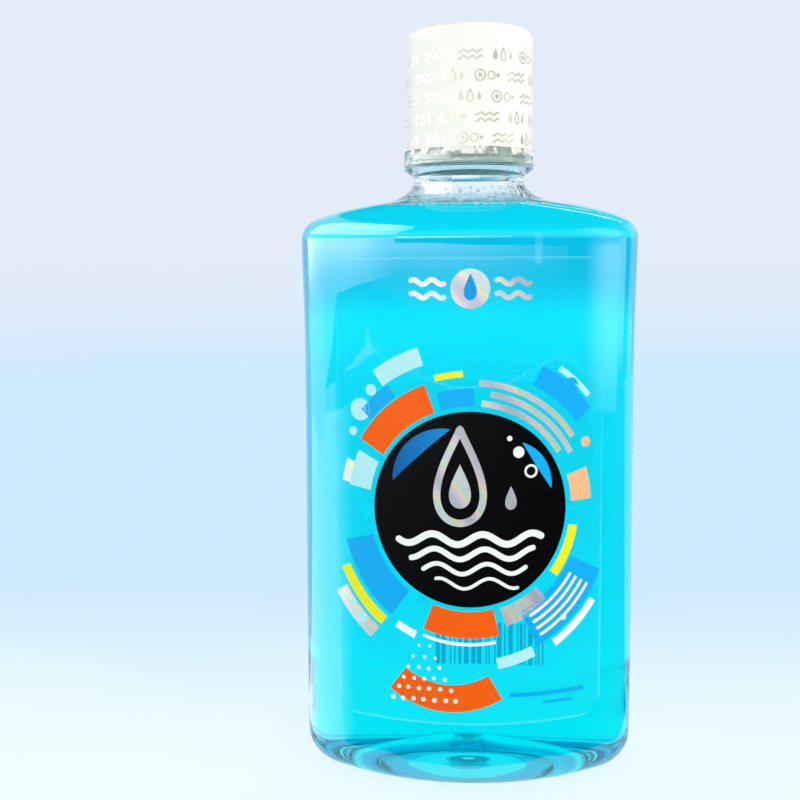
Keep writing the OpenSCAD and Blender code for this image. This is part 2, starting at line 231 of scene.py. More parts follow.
def rounded(corners, steps=5):
    """A profile of (radius, height) points from (radius, height, rounding) corners."""
    points = []
    for k, (r, z, rounding) in enumerate(corners):
        here = np.array([r, z])
        if rounding == 0 or k in (0, len(corners) - 1):
            points.append(here)
            continue
        ends = []
        for other in (corners[k - 1], corners[k + 1]):
            way = np.array(other[:2]) - here
            ends.append(here + way * min(rounding / np.linalg.norm(way), 0.49))
        for t in np.linspace(0, 1, steps):
            points.append((1 - t) ** 2 * ends[0] + 2 * t * (1 - t) * here + t * t * ends[1])
    return np.array(points)


def spaced(profile, step):
    """The same profile with points no further apart than a step."""
    points = [profile[0]]
    for a, b in zip(profile[:-1], profile[1:]):
        count = max(1, math.ceil(np.linalg.norm(b - a) / step))
        points += [a + (b - a) * k / count for k in range(1, count + 1)]
    return np.array(points)


def lathed(profile, turns, swell=None):
    """Rings of points from a profile, pushed outwards by swell(turn, radius, height)."""
    r = profile[:, 0][:, None]
    z = np.broadcast_to(profile[:, 1][:, None], (len(profile), len(turns)))
    t = np.broadcast_to(turns, z.shape)
    if swell is not None:
        r = r + swell(t, r, z)
    return np.stack([r * np.cos(t), r * np.sin(t), z], axis=-1)


def circle(count):
    """Angles evenly round a circle."""
    return np.arange(count) * 2 * np.pi / count


def helix(turn, z, start_z, lead, turns, root_w, crest_w):
    """How much of a thread's height stands at each angle and height, from 0 to 1."""
    best = np.zeros_like(z)
    fade_turn = math.radians(36)
    for lap in range(math.ceil(turns)):
        along = np.mod(turn, 2 * np.pi) + 2 * np.pi * lap
        past = 2 * np.pi * turns - along
        fade = ease(np.clip(np.minimum(along, past) / fade_turn, 0, 1))
        away = np.abs(z - start_z - lead * along / (2 * np.pi))
        flank = np.clip((root_w / 2 - away) / ((root_w - crest_w) / 2), 0, 1)
        best = np.maximum(best, flank * fade * (past > 0))
    return best


# The blown body

# Points round a quarter of the outline: along the side's arc and along half of the face
SIDE_POINTS, FACE_POINTS = 28, 20
# Rings up a skin: the base's dish, the foot's rounding, the panel, the shoulder's corner, its slope
DISH_RINGS, FOOT_RINGS, PANEL_RINGS, CORNER_RINGS, SLOPE_RINGS = 20, 14, 46, 15, 37
# Passes that smooth the base and the shoulder, and the corner's first rings, which stay as they are
BASE_PASSES, SHOULDER_PASSES, KEPT_RINGS = 3, 14, 4
# A ring well above the foot, from where the rings only rise
ABOVE_FOOT = 60
# The gate mark in the middle of the base, as (radius, rise) in millimetres
GATE_MARK = [(0.5, -0.55), (1.0, -0.5), (1.35, -0.12), (1.7, 0),
             (2.5, 0), (2.9, 0.22), (3.4, 0.22), (3.8, 0)]
# The dish round the gate mark begins as part of a circle of this radius and ends as the outline.
# The shares of the outline's size at which it begins and at which the circle starts to give way,
# and the share over which it does so
DISH_R = 27 * MM
DISH_FROM, ROUND_TO, ROUND_FADE = 0.16, 0.1, 0.5
# The sloping shoulder, as shares of its way in to the neck and of its height
SLOPE = np.array([[0, 0], [0.13, 0.165], [0.285, 0.29], [0.47, 0.42], [0.65, 0.505], [0.777, 0.568],
                  [0.86, 0.65], [0.92, 0.765], [0.965, 0.885], [1, 1]])
# How far the shoulder's corner turns over
CORNER_TURN = math.radians(70)
# Heights of the finish above the support ring, of the ring's edge and of the slope under that edge
FINISH_H, RING_EDGE, RING_SLOPE = 17.5 * MM, 0.7 * MM, 1.4 * MM
# The thread's turns, its widths at the root and at the crest, and the way from the lip down to it
THREAD_TURNS = 1.5
THREAD_ROOT, THREAD_CREST = 2.5 * MM, 1.15 * MM
LIP_TO_THREAD = 2.65 * MM
# The height over which the neck's inside narrows to the mouth, and the depth of the parting line
FUNNEL_H = 2.6 * MM
PARTING_LINE = 0.05 * MM


class Body:
    """The bottle's outline, from the sizes in the scene."""

    def __init__(self):
        s = self.sizes = bpy.context.scene.bottle_sizes
        self.side_x = s.body_w / 2 - s.side_r
        self.join = math.acos(self.side_x / (self.face_r(0) - s.side_r))
        self.push_share = 1 - s.stand_w / (s.body_w / 2 - s.foot_r)
        self.corner_top = s.shoulder_z + s.corner_h * math.sin(CORNER_TURN)
        self.root_z = self.corner_top + s.slope_h
        self.ring_z = self.root_z + s.neck_h
        self.ring_top = self.ring_z + RING_SLOPE + RING_EDGE
        self.lip_z = self.ring_top + FINISH_H
        quarter = np.concatenate([np.linspace(0, self.join, SIDE_POINTS, endpoint=False),
                                  np.linspace(self.join, np.pi / 2, FACE_POINTS, endpoint=False)])
        back = np.append(quarter[1:], np.pi / 2)[::-1]
        self.turns = np.concatenate([quarter, np.pi - back, np.pi + quarter, 2 * np.pi - back])

    def face_r(self, inset):
        """Radius of the front and back faces of a section drawn in by an inset."""
        s = self.sizes
        a, b = s.body_w / 2 - s.side_r, s.body_d / 2
        return (a * a + b * b - s.side_r ** 2) / (2 * (b - s.side_r)) - inset

    def panel_inset(self, z):
        """How far the outer skin is drawn in at a height."""
        s = self.sizes
        lower = s.waist_in * ease((z - s.foot_r) / (s.waist_z - s.foot_r))
        rise = ease((z - s.waist_z) / (s.shoulder_z - s.waist_z))
        return np.where(z < s.waist_z, lower, s.waist_in + (s.shoulder_in - s.waist_in) * rise)

    def point(self, turn, inset):
        """The outline's point, (x, y), at an angle: two side arcs and two face arcs."""
        s = self.sizes
        across, along = np.abs(np.cos(turn)), np.abs(np.sin(turn))
        side = np.arctan2(along, across) < self.join
        face = self.face_r(inset)
        x = np.where(side, self.side_x + (s.side_r - inset) * across, face * across)
        y = np.where(side, (s.side_r - inset) * along, s.body_d / 2 - self.face_r(0) + face * along)
        return np.stack([x * np.sign(np.cos(turn)), y * np.sign(np.sin(turn))], axis=-1)

    def ring(self, inset, z, scale=1.0, share=0.0, circle_r=0.0):
        """One ring of points: the outline, part of the way to a circle."""
        oval = self.point(self.turns, inset) * scale
        round_ = np.stack([np.cos(self.turns), np.sin(self.turns)], axis=-1) * circle_r
        flat = oval + (round_ - oval) * share
        return np.column_stack([flat, np.full(len(flat), z)])

    def base(self, off):
        """Rings of the pushed-up base, from the gate mark out to the standing ring."""
        s = self.sizes
        top = s.push_up + off
        rings = [self.ring(0, top + rise * MM, 0, 1, r * MM) for r, rise in GATE_MARK]
        for scale in np.linspace(DISH_FROM, self.push_share, DISH_RINGS):
            reach = scale / self.push_share
            fall = 1 - reach * reach
            share = 1 - ease((scale - ROUND_TO) / ROUND_FADE)
            rings.append(self.ring(s.foot_r, off + s.push_up * fall, scale, share, scale * DISH_R))
        for t in (0.25, 0.5, 0.75):
            rings.append(self.ring(s.foot_r, off, self.push_share + (1 - self.push_share) * t))
        return rings

    def skin(self, off, neck_r):
        """Rings of a skin that lies off inside the outer one, from the base up to the neck's root."""
        s = self.sizes
        rings = self.base(off)
        base_end = len(rings) - 1
        r = s.foot_r - off
        for turn in np.linspace(0, np.pi / 2, FOOT_RINGS):
            rings.append(self.ring(s.foot_r - r * np.sin(turn), s.foot_r - r * np.cos(turn)))
        for z in np.linspace(s.foot_r, s.shoulder_z, PANEL_RINGS)[1:]:
            rings.append(self.ring(off + self.panel_inset(z), z))
        shoulder_from = len(rings) + KEPT_RINGS
        for turn in np.linspace(0, CORNER_TURN, CORNER_RINGS)[1:]:
            inset = s.shoulder_in + s.corner_in - (s.corner_in - off) * np.cos(turn)
            start = (inset, s.shoulder_z + (s.corner_h - off) * np.sin(turn))
            rings.append(self.ring(*start))
        for step in np.linspace(0, len(SLOPE) - 1, SLOPE_RINGS)[1:]:
            share, rise = (np.interp(step, range(len(SLOPE)), SLOPE[:, k]) for k in (0, 1))
            z = start[1] + (self.root_z - start[1]) * rise
            rings.append(self.ring(start[0], z, 1, share, neck_r))
        for z in np.linspace(self.root_z, self.root_z + s.neck_h / 2, 4)[1:]:
            rings.append(self.ring(0, z, 1, 1, neck_r))
        rings = np.array(rings)
        for low, high, passes in ((len(GATE_MARK), base_end, BASE_PASSES),
                                  (shoulder_from, len(rings) - 2, SHOULDER_PASSES)):
            for _ in range(passes):
                mid = rings[low:high]
                rings[low:high] = (rings[low - 1:high - 1] + 2 * mid + rings[low + 1:high + 1]) / 4
        return rings


def make_bottle():
    """The blown body and its moulded neck as one clear wall."""
    body = Body()
    s = body.sizes
    outer = body.skin(0, s.neck_r)
    inner = body.skin(s.wall, s.neck_in_r)
    # A fine parting line down the two sides, where the two halves of the mould met
    for ring in outer[len(GATE_MARK) + DISH_RINGS + 2:]:
        for i in (0, len(ring) // 2):
            ring[i][0] -= math.copysign(PARTING_LINE, ring[i][0])
    start = body.root_z + s.neck_h / 2
    edge, soft = s.ring_r, 0.4 * MM
    neck = rounded([(s.neck_r, start, 0),
                    (s.neck_r, body.ring_z, 0.5 * MM),
                    (edge - RING_EDGE / 2, body.ring_z + RING_SLOPE, 0.25 * MM),
                    (edge, body.ring_z + RING_SLOPE + RING_EDGE * 0.4, 0.2 * MM),
                    (edge, body.ring_top - RING_EDGE / 4, 0.15 * MM),
                    (edge - RING_EDGE / 3, body.ring_top, 0.15 * MM),
                    (s.finish_r, body.ring_top, soft),
                    (s.finish_r, body.lip_z, soft),
                    (s.mouth_r, body.lip_z, soft),
                    (s.mouth_r, body.ring_z + FUNNEL_H, 1 * MM),
                    (s.neck_in_r, body.ring_z, 1 * MM),
                    (s.neck_in_r, start, 0)])
    neck = spaced(neck, 0.33 * MM)
    thread_start = body.lip_z - LIP_TO_THREAD - s.thread_lead * THREAD_TURNS

    def thread(turn, r, z):
        outside = r > (s.finish_r + s.mouth_r) / 2
        ridge = helix(turn, z, thread_start, s.thread_lead, THREAD_TURNS, THREAD_ROOT, THREAD_CREST)
        return np.where(outside, ridge * s.thread_out, 0)

    rings = np.concatenate([outer, lathed(neck, body.turns, thread)[1:-1], inner[::-1]])
    bm = bmesh.new()
    nub = GATE_MARK[0][1] * MM
    add_rings(bm, rings, first=(0, 0, s.push_up + nub), last=(0, 0, s.push_up + s.wall + nub))
    return finished("bottle_wall", bm, sharp=75)


def level_at(rings, z):
    """The first ring above a height, and how far up to it from the ring below the height lies."""
    heights = rings[:, 0, 2]
    top = next(k for k in range(ABOVE_FOOT, len(rings)) if heights[k] > z)
    return top, (z - heights[top - 1]) / (heights[top] - heights[top - 1])


def make_rinse():
    """The rinse. It reaches a little way into the wall, so that no air shows between them."""
    body = Body()
    s = body.sizes
    sink, rise = 0.25 * MM, 0.15 * MM
    rings = body.skin(s.wall - sink, s.neck_in_r + sink)
    top, share = level_at(rings, s.fill_z + rise)
    edge = rings[top - 1] + (rings[top] - rings[top - 1]) * share
    rows = list(rings[:top]) + [edge]
    reach = np.linalg.norm(edge[:, :2], axis=1)
    # The rinse stands up a little at the wall, and falls to its level within this many millimetres
    falling = 1.1
    for back in (0.35, 0.8, 1.3, 2.0, 3.0, 4.5, 7, 10, 13):
        row = edge.copy()
        row[:, :2] *= (1 - np.minimum(back * MM / reach, 0.97))[:, None]
        row[:, 2] = s.fill_z + rise * math.exp(-back / falling)
        rows.append(row)
    bm = bmesh.new()
    add_rings(bm, rows, first=(0, 0, s.push_up + s.wall - sink), last=(0, 0, s.fill_z))
    return finished("rinse_body", bm, sharp=80)


def balls(name, places, smooth):
    """Many small balls as one object. Each place is a middle, a radius, a thickness as a share of
    the ball's width, and the direction of that thickness."""
    bm = bmesh.new()
    bmesh.ops.create_icosphere(bm, subdivisions=smooth, radius=1)
    shell = np.array([v.co for v in bm.verts])
    faces = np.array([[v.index for v in f.verts] for f in bm.faces])
    bm.free()
    points, corners = [], []
    for k, (middle, r, flat, way) in enumerate(places):
        way = np.asarray(way) / np.linalg.norm(way)
        points.append(middle + r * (shell - np.outer(shell @ way, way) * (1 - flat)))
        corners.append(faces + k * len(shell))
    mesh = bpy.data.meshes.new(name)
    mesh.from_pydata(np.concatenate(points), [], np.concatenate(corners).tolist())
    mesh.shade_smooth()
    obj = bpy.data.objects.new(name, mesh)
    bpy.context.scene.collection.objects.link(obj)
    return obj


def on_wall(rings, draw, z):
    """A random place on the inside of the wall at a height, and the way out of the wall."""
    top, share = level_at(rings, z)
    i, t = draw.randrange(rings.shape[1]), draw.random()
    j = (i + 1) % rings.shape[1]
    below, above = (rings[k][i] * (1 - t) + rings[k][j] * t for k in (top - 1, top))
    place = below * (1 - share) + above * share
    side = rings[top][j] - rings[top][i]
    way = np.cross(side, above - below)
    return place, way / np.linalg.norm(way)


def clinging(name, seed, count, size, low, high, crowd, inward, flat, smooth):
    """Balls that cling to the inside of the wall between two heights and crowd towards the lower.
    Size is a least radius, a spread and a power. Inward is the share of its radius by which a
    ball's middle lies off the wall, and flat is its thickness as a share of its width."""
    body = Body()
    draw = random.Random(seed)
    rings = body.skin(body.sizes.wall, body.sizes.neck_in_r)
    least, spread, power = size
    places = []
    for _ in range(count):
        r = least + spread * draw.random() ** power
        place, way = on_wall(rings, draw, low + (high - low) * draw.random() ** crowd)
        places.append((place - way * r * inward, r, flat, way))
    return balls(name, places, smooth)


def make_froth():
    """Small bubbles that cling to the wall where the rinse ends."""
    level = bpy.context.scene.bottle_sizes.fill_z
    return clinging("rinse_froth", 11, 1700, (0.12 * MM, 0.4 * MM, 2.4), level - 0.05 * MM,
                    level + 1.05 * MM, crowd=1.4, inward=0.95, flat=0.9, smooth=1)


def make_drops():
    """Drops of rinse left on the inside of the bottle above the level."""
    body = Body()
    low, high = body.sizes.fill_z + 0.9 * MM, body.root_z + body.sizes.neck_h / 2
    return clinging("rinse_drops", 29, 380, (0.1 * MM, 0.42 * MM, 3), low, high,
                    crowd=1.7, inward=0.3, flat=0.5, smooth=2)


# The wet film's ends above the level, how far its two skins lie off the wall, the height over
# which it tapers, and its least thickness as a share of its thickest
WET_LOW, WET_HIGH = 0.2 * MM, 4.4 * MM
WET_OFF, WET_THICK = 0.03 * MM, 0.15 * MM
WET_TAPER, WET_LEAST = 3 * MM, 0.15


def make_wet_film():
    """The film of rinse that wets the inside of the shoulder above the level."""
    body = Body()
    s = body.sizes
    outer, inner = [], []
    thin, thick = (body.skin(s.wall + off, s.neck_in_r - off) for off in (WET_OFF, WET_THICK))
    for near, far in zip(thin, thick):
        up = near[0, 2] - s.fill_z
        if WET_LOW < up < WET_HIGH:
            share = WET_LEAST + (1 - WET_LEAST) * ease((WET_HIGH - up) / WET_TAPER)
            outer.append(near)
            inner.append(near + (far - near) * share)
    bm = bmesh.new()
    add_rings(bm, outer + inner[::-1], wrap=True)
    return finished("rinse_film", bm, sharp=70)


# Printed films

# The places and sizes of prints are in millimetres, across a surface and up it. The steps say how
# far apart a print's points may lie: inside it and along bars, along curves, round spots and along
# waves.
GRID_STEP = 1.8
CURVE_STEP, SPOT_STEP, WAVE_STEP = 0.55, 0.6, 0.45


def stroke(path, half_width, ends="round", closed=False):
    """A printed line along a path of points, as a grid that is fine enough to lie on a curve."""
    path = np.asarray(path, float)
    if closed:
        along = np.roll(path, -1, axis=0) - np.roll(path, 1, axis=0)
    else:
        along = np.gradient(path, axis=0)
    along /= np.linalg.norm(along, axis=1)[:, None]
    side = np.column_stack([-along[:, 1], along[:, 0]])
    width = np.broadcast_to(np.asarray(half_width, float), (len(path),)).copy()
    if not closed:
        gone = np.concatenate([[0], np.cumsum(np.linalg.norm(np.diff(path, axis=0), axis=1))])
        near = np.minimum(gone, gone[-1] - gone)
        if ends == "round":
            inside = np.clip(1 - near / width, 0, 1)
            width *= np.sqrt(np.clip(1 - inside * inside, 0.0004, 1))
        elif ends == "taper":
            width *= np.clip(np.sin(np.pi * gone / gone[-1]), 0.01, 1) ** 0.8
    rows = max(1, math.ceil(2 * width.max() / GRID_STEP))
    steps = np.linspace(-1, 1, rows + 1)
    return np.stack([path + side * (width * t)[:, None] for t in steps]), closed


def ended(count):
    """Shares from 0 to 1 that crowd towards both ends, so that round ends stay round."""
    even = np.linspace(0, 1, count)
    return 0.6 * even + 0.4 * ease(even)


def round_points(u, v, r, turn):
    """Points at some angles on a circle round a middle (u, v)."""
    return np.column_stack([u + r * np.cos(turn), v + r * np.sin(turn)])


def arc(u, v, r, width, start, end, ends="round"):
    """A curved band round a middle (u, v), between two angles in degrees."""
    count = max(12, math.ceil(abs(math.radians(end - start)) * r / CURVE_STEP))
    turn = np.radians(start + (end - start) * ended(count))
    return stroke(round_points(u, v, r, turn), width / 2, ends)


def hoop(u, v, r, width):
    """A whole ring."""
    turn = circle(max(20, math.ceil(2 * np.pi * r / CURVE_STEP)))
    return stroke(round_points(u, v, r, turn), width / 2, closed=True)


def filled(outline, u, v):
    """A filled shape that is seen whole from its middle (u, v)."""
    outline = np.asarray(outline, float)
    middle = np.array([u, v])
    reach = np.linalg.norm(outline - middle, axis=1).max()
    rows = np.linspace(0, 1, max(2, math.ceil(reach / GRID_STEP)) + 1)
    return np.stack([middle + (outline - middle) * t for t in rows]), True


def disc(u, v, r):
    """A filled round spot."""
    return filled(round_points(u, v, r, circle(max(16, math.ceil(2 * np.pi * r / SPOT_STEP)))), u, v)


def drop_outline(u, v, height):
    """The outline of an upright water drop with its middle at (u, v)."""
    turn = circle(max(28, math.ceil(height * 4)))
    r = height * 0.34
    x = r * np.sin(turn) * np.sin(turn / 2) ** 1.35
    y = r * 0.18 + height * 0.5 * np.cos(turn)
    return np.column_stack([u + x, v + y])


def drop(u, v, height):
    """A filled water drop."""
    return filled(drop_outline(u, v, height), u, v - 0.12 * height)


def drop_line(u, v, height, width):
    """The outline of a water drop as a printed line."""
    return stroke(drop_outline(u, v, height), width / 2, closed=True)


def wave(u, v, span, swing, pitch, width):
    """A level wavy line with its middle at (u, v)."""
    x = (ended(max(14, math.ceil(span / WAVE_STEP))) - 0.5) * span
    return stroke(np.column_stack([u + x, v + swing * np.sin(2 * np.pi * x / pitch)]), width / 2)


def bar(u0, v0, u1, v1, width):
    """A straight bar with square ends."""
    count = max(3, math.ceil(math.hypot(u1 - u0, v1 - v0) / GRID_STEP) + 1)
    path = np.column_stack([np.linspace(u0, u1, count), np.linspace(v0, v1, count)])
    return stroke(path, width / 2, "square")


def add_patch(bm, shape, place, low, high):
    """One thin closed patch of film or ink, laid on a surface by place(points, out)."""
    grid, wrap = shape
    rows, cols = grid.shape[:2]
    upper = place(grid * MM, high)
    lower = place(grid * MM, low)
    over = [[bm.verts.new(p) for p in row] for row in upper]
    under = [[bm.verts.new(p) for p in row] for row in lower]
    last = cols if wrap else cols - 1
    for r in range(rows - 1):
        for c in range(last):
            d = (c + 1) % cols
            bm.faces.new((over[r][c], over[r][d], over[r + 1][d], over[r + 1][c]))
            bm.faces.new((under[r][c], under[r + 1][c], under[r + 1][d], under[r][d]))
    for r in (0, rows - 1):
        if np.ptp(grid[r], axis=0).max() < 1e-6:
            continue
        for c in range(last):
            d = (c + 1) % cols
            bm.faces.new((over[r][c], under[r][c], under[r][d], over[r][d]))
    if not wrap:
        for c in (0, cols - 1):
            for r in range(rows - 1):
                bm.faces.new((over[r][c], over[r + 1][c], under[r + 1][c], under[r][c]))


def on_face(body, way):
    """A placer that lays (across, height) points on the bottle's front, -1, or back, 1."""
    def place(points, out):
        inset = body.panel_inset(points[..., 1]) - out
        turn = np.pi / 2 - points[..., 0] / body.face_r(0)
        flat = body.point(turn, inset)
        return np.stack([-way * flat[..., 0], way * flat[..., 1], points[..., 1]], axis=-1)
    return place


def label_film_shape(body):
    """A label's outline with rounded corners, as a grid in millimetres."""
    s = bpy.context.scene.label_sizes
    corner, height = s.corner / MM, s.height / MM
    half = body.face_r(0) * math.asin(s.width / 2 / body.face_r(0)) / MM
    columns = 49
    bend = corner * (1 - np.cos(np.linspace(0, np.pi / 2, 10)))
    rises = np.concatenate([bend, np.linspace(corner, height - corner, 56)[1:-1], height - bend[::-1]])
    rows = []
    for rise in rises:
        c = max(0, corner - min(rise, height - rise))
        reach = half - corner + math.sqrt(corner ** 2 - c * c)
        across = np.linspace(-reach, reach, columns)
        rows.append(np.column_stack([across, np.full(columns, s.low_z / MM + rise)]))
    return np.stack(rows), False


# How far a film lies off what carries it, how far a print lies off its film, and how far a layer
# of ink lies above the one below it, as a share of an ink's thickness
SEAT = 0.05 * MM
PRINT_SEAT = 0.004 * MM
LAYER_SHARE = 1.15
# The thickness of the sleeve's foil print
FOIL_T = 0.012 * MM


def make_film(name, body, way):
    """A label's clear film, just off the bottle's skin."""
    s = bpy.context.scene.label_sizes
    bm = bmesh.new()
    add_patch(bm, label_film_shape(body), on_face(body, way), SEAT, SEAT + s.film_t)
    return finished(name, bm)


def make_print(name, shapes, place, base, ink_t):
    """One ink's patches as one object. Each shape comes with the layer it is printed in."""
    bm = bmesh.new()
    for layer, shape in shapes:
        low = base + layer * ink_t * LAYER_SHARE
        add_patch(bm, shape, place, low, low + ink_t)
    return finished(name, bm)


def front_artwork():
    """The front label's print: a drop over waves in a dark disc, ringed by ripples of colour."""
    draw = random.Random(5)
    u, v = 0, 77

    def bands(*rows):
        """Curved bands round the disc, each a radius, a width and its two end angles."""
        return [(0, arc(u, v, r, width, start, stop, "square")) for r, width, start, stop in rows]

    def spots(layer, *rows):
        """Round spots in a layer, each a place and a radius."""
        return [(layer, disc(*row)) for row in rows]

    art = {}
    art["black"] = spots(0, (u, v, 25.6))
    art["orange"] = bands((30.6, 7.6, 110, 149), (30.4, 7.2, 249, 283))
    art["orange"].append((0, arc(-5, 50, 23.4, 7.4, 233, 300, "square")))
    art["yellow"] = bands((28.2, 2.6, -38, -10), (38.2, 2.9, 206, 233), (35.2, 1.6, 93, 105))
    art["blue"] = bands((38.8, 5.6, 38, 63), (36.8, 3.8, 124, 139), (35.4, 10.4, -64, -26),
                        (31.2, 8.4, 196, 234), (29.2, 4.4, 88, 106))
    art["blue"] += spots(0, (26.8, 108.6, 2.2))
    art["aqua"] = bands((41.6, 4.8, 108, 126), (43.2, 1.5, 42, 57), (30.2, 6.4, 154, 171),
                        (41.4, 3.0, -80, -66))
    art["aqua"] += spots(0, (-29.6, 102.4, 2.9), (-26.4, 107.6, 1.5), (-31.8, 96.6, 1.2),
                         (25.2, 47.6, 0.9), (-29.4, 46.6, 1.6), (-32, 50.4, 0.9))
    art["peach"] = bands((30.2, 6.0, 3, 18)) + spots(0, (31.4, 93.8, 1.4))
    art["white"] = bands((42.6, 2.1, -58, -37), (35.6, 0.9, 251, 281), (36.4, 2.0, 238, 247))
    art["white"] += spots(1, (12.6, 92.0, 1.5), (10.2, 95.6, 0.7)) + [(1, hoop(15.9, 87.0, 1.5, 0.6))]
    art["white"] += [(1, arc(u, v, r, 0.8, -61, -33, "square")) for r in (32.4, 34.4, 36.4, 38.4)]
    for k in range(4):
        art["white"].append((1, wave(0.6 * k, 69.4 - 3.9 * k, 39 - 5.6 * k, 1.35, 13, 1.8 - 0.3 * k)))
    # A triangle of dots, in rows that grow longer and bolder downwards
    for row in range(7):
        for spot in range(row + 1):
            x = -12 + (spot - row / 2) * 2.8 + draw.uniform(-0.2, 0.2)
            y = 43.4 - row * 2.9 + draw.uniform(-0.2, 0.2)
            art["white"] += spots(1, (x, y, 0.34 + 0.05 * row))
    art["silver"] = bands((27.8, 1.6, 32, 84), (30.4, 1.6, 28, 80), (33.0, 1.6, 34, 86),
                          (29.6, 5.2, 287, 310), (42.6, 4.0, 213, 233), (34.6, 2.4, 160, 170))
    art["silver"] += [(1, drop_line(-2.6, 84.4, 24.5, 1.9)), (1, drop(-2.6, 82.6, 11.6)),
                      (1, drop(10.6, 79.8, 6.2)), (0, disc(0, 133.6, 5.0))]
    for side in (-1, 1):
        art["silver"] += [(0, wave(side * 10.9, 133.6 + rise, 9.6, 0.62, 4.8, 1.3)) for rise in (-1.7, 1.7)]
    art["navy"] = [(1, arc(u, v, 21.6, 4.6, 104, 160, "taper")),
                   (1, arc(u, v, 22.1, 2.8, 14, 52, "taper")), (1, drop(0, 133.7, 6.8)),
                   (0, bar(10.5, 27.4, 31.5, 27.4, 1.1)), (0, bar(19.5, 24.9, 28.0, 24.9, 0.7))]
    return art


def back_artwork():
    """The back label's print: a drop over plain bars that stand for lines of small print."""
    draw = random.Random(23)
    reach, line_step, line_w = 27, 3.05, 1.1
    faint = [hoop(0, 126, 6.4, 0.9), drop(0, 125.8, 7.6)]
    faint += [wave(u, 126, 15, 0.9, 6.2, 0.9) for u in (-18, 18)]
    faint += [bar(-reach, v, reach, v, 0.7) for v in (115.4, 52.6)]
    # Lines in blocks of five, the last line of each a short one, with a space between the blocks
    for row in range(19):
        if row % 6 == 5:
            continue
        v = 111.2 - row * line_step
        end = reach if row % 6 != 4 else draw.uniform(-6, 18)
        u = -reach
        while u < end - 2:
            stop = min(u + draw.uniform(3.2, 10.5), end)
            faint.append(bar(u, v, stop, v, line_w))
            u = stop + line_w
    for k in range(3):
        faint += [hoop(21.4, 29.4 + k * 7.4, 2.7, 0.6), drop(21.4, 29.3 + k * 7.4, 3.1)]
    # A row of upright bars that codes nothing
    marks = []
    u = -19.0
    while u < 8.6:
        w = draw.choice((0.35, 0.35, 0.7, 1.05))
        marks.append(bar(u + w / 2, 21.8, u + w / 2, 34.4, w))
        u += w + draw.choice((0.35, 0.7, 0.7, 1.05))
    return {"faint": [(0, shape) for shape in faint], "marks": [(0, shape) for shape in marks]}


# Cap and seal

class Cap:
    """The measuring cap's outline, from the sizes in the scene."""

    def __init__(self):
        s = self.sizes = bpy.context.scene.cap_sizes
        self.edge_z = s.top_z - s.edge_r
        self.edge_x = self.shell_r(self.edge_z) - s.edge_r
        self.low_z = s.rim_z + s.bare_skirt

    def shell_r(self, z):
        """Outer radius of the shell's wall at a height."""
        s = self.sizes
        return s.cap_r - s.draft * (z - s.rim_z) / (s.top_z - s.rim_z)

    def edge_arc(self, start, end):
        """Points round the top edge, between two angles in degrees."""
        turn = np.radians(np.linspace(start, end, 12))
        return round_points(self.edge_x, self.edge_z, self.sizes.edge_r, turn)


# The ring of points next to the middle of the cap's flat tops
MIDDLE_R = 4 * MM
# The inner cup's wall and its top, and the radius of its dosing end
CUP_WALL, CUP_TOP = 1.1 * MM, 0.9 * MM
DOSE_R = 12.2 * MM
# The number of drive ribs, and half the width of one
RIBS, RIB_HALF = 30, 0.55 * MM
# The lip seal's thickness and the radius of its hole
SEAL_T, SEAL_HOLE_R = 1.2 * MM, 11.3 * MM


def make_shell():
    """The cap's outer shell: a clear cup turned over, with a flared rim."""
    cap = Cap()
    s = cap.sizes
    inner_top = s.top_z - 1.2 * MM
    crown = cap.shell_r(s.top_z) - s.wall
    flare_z = s.rim_z + 3.2 * MM
    outside = np.concatenate([[[MIDDLE_R, s.top_z], [9 * MM, s.top_z]], cap.edge_arc(90, 0)])
    rest = rounded([tuple(outside[-1]) + (0,),
                    (cap.shell_r(flare_z), flare_z, 1.2 * MM),
                    (s.cap_r + s.rim_out, s.rim_z + s.wall, 0.35 * MM),
                    (s.cap_r + s.rim_out, s.rim_z, 0.3 * MM),
                    (s.cap_r - s.wall, s.rim_z, 0.3 * MM),
                    (crown, inner_top, 1.2 * MM),
                    (MIDDLE_R, inner_top, 0)], 7)
    profile = spaced(np.concatenate([outside, rest[1:]]), 2.5 * MM)
    bm = bmesh.new()
    add_rings(bm, lathed(profile, circle(160)), first=(0, 0, s.top_z), last=(0, 0, inner_top))
    return finished("cap_shell", bm, sharp=60)


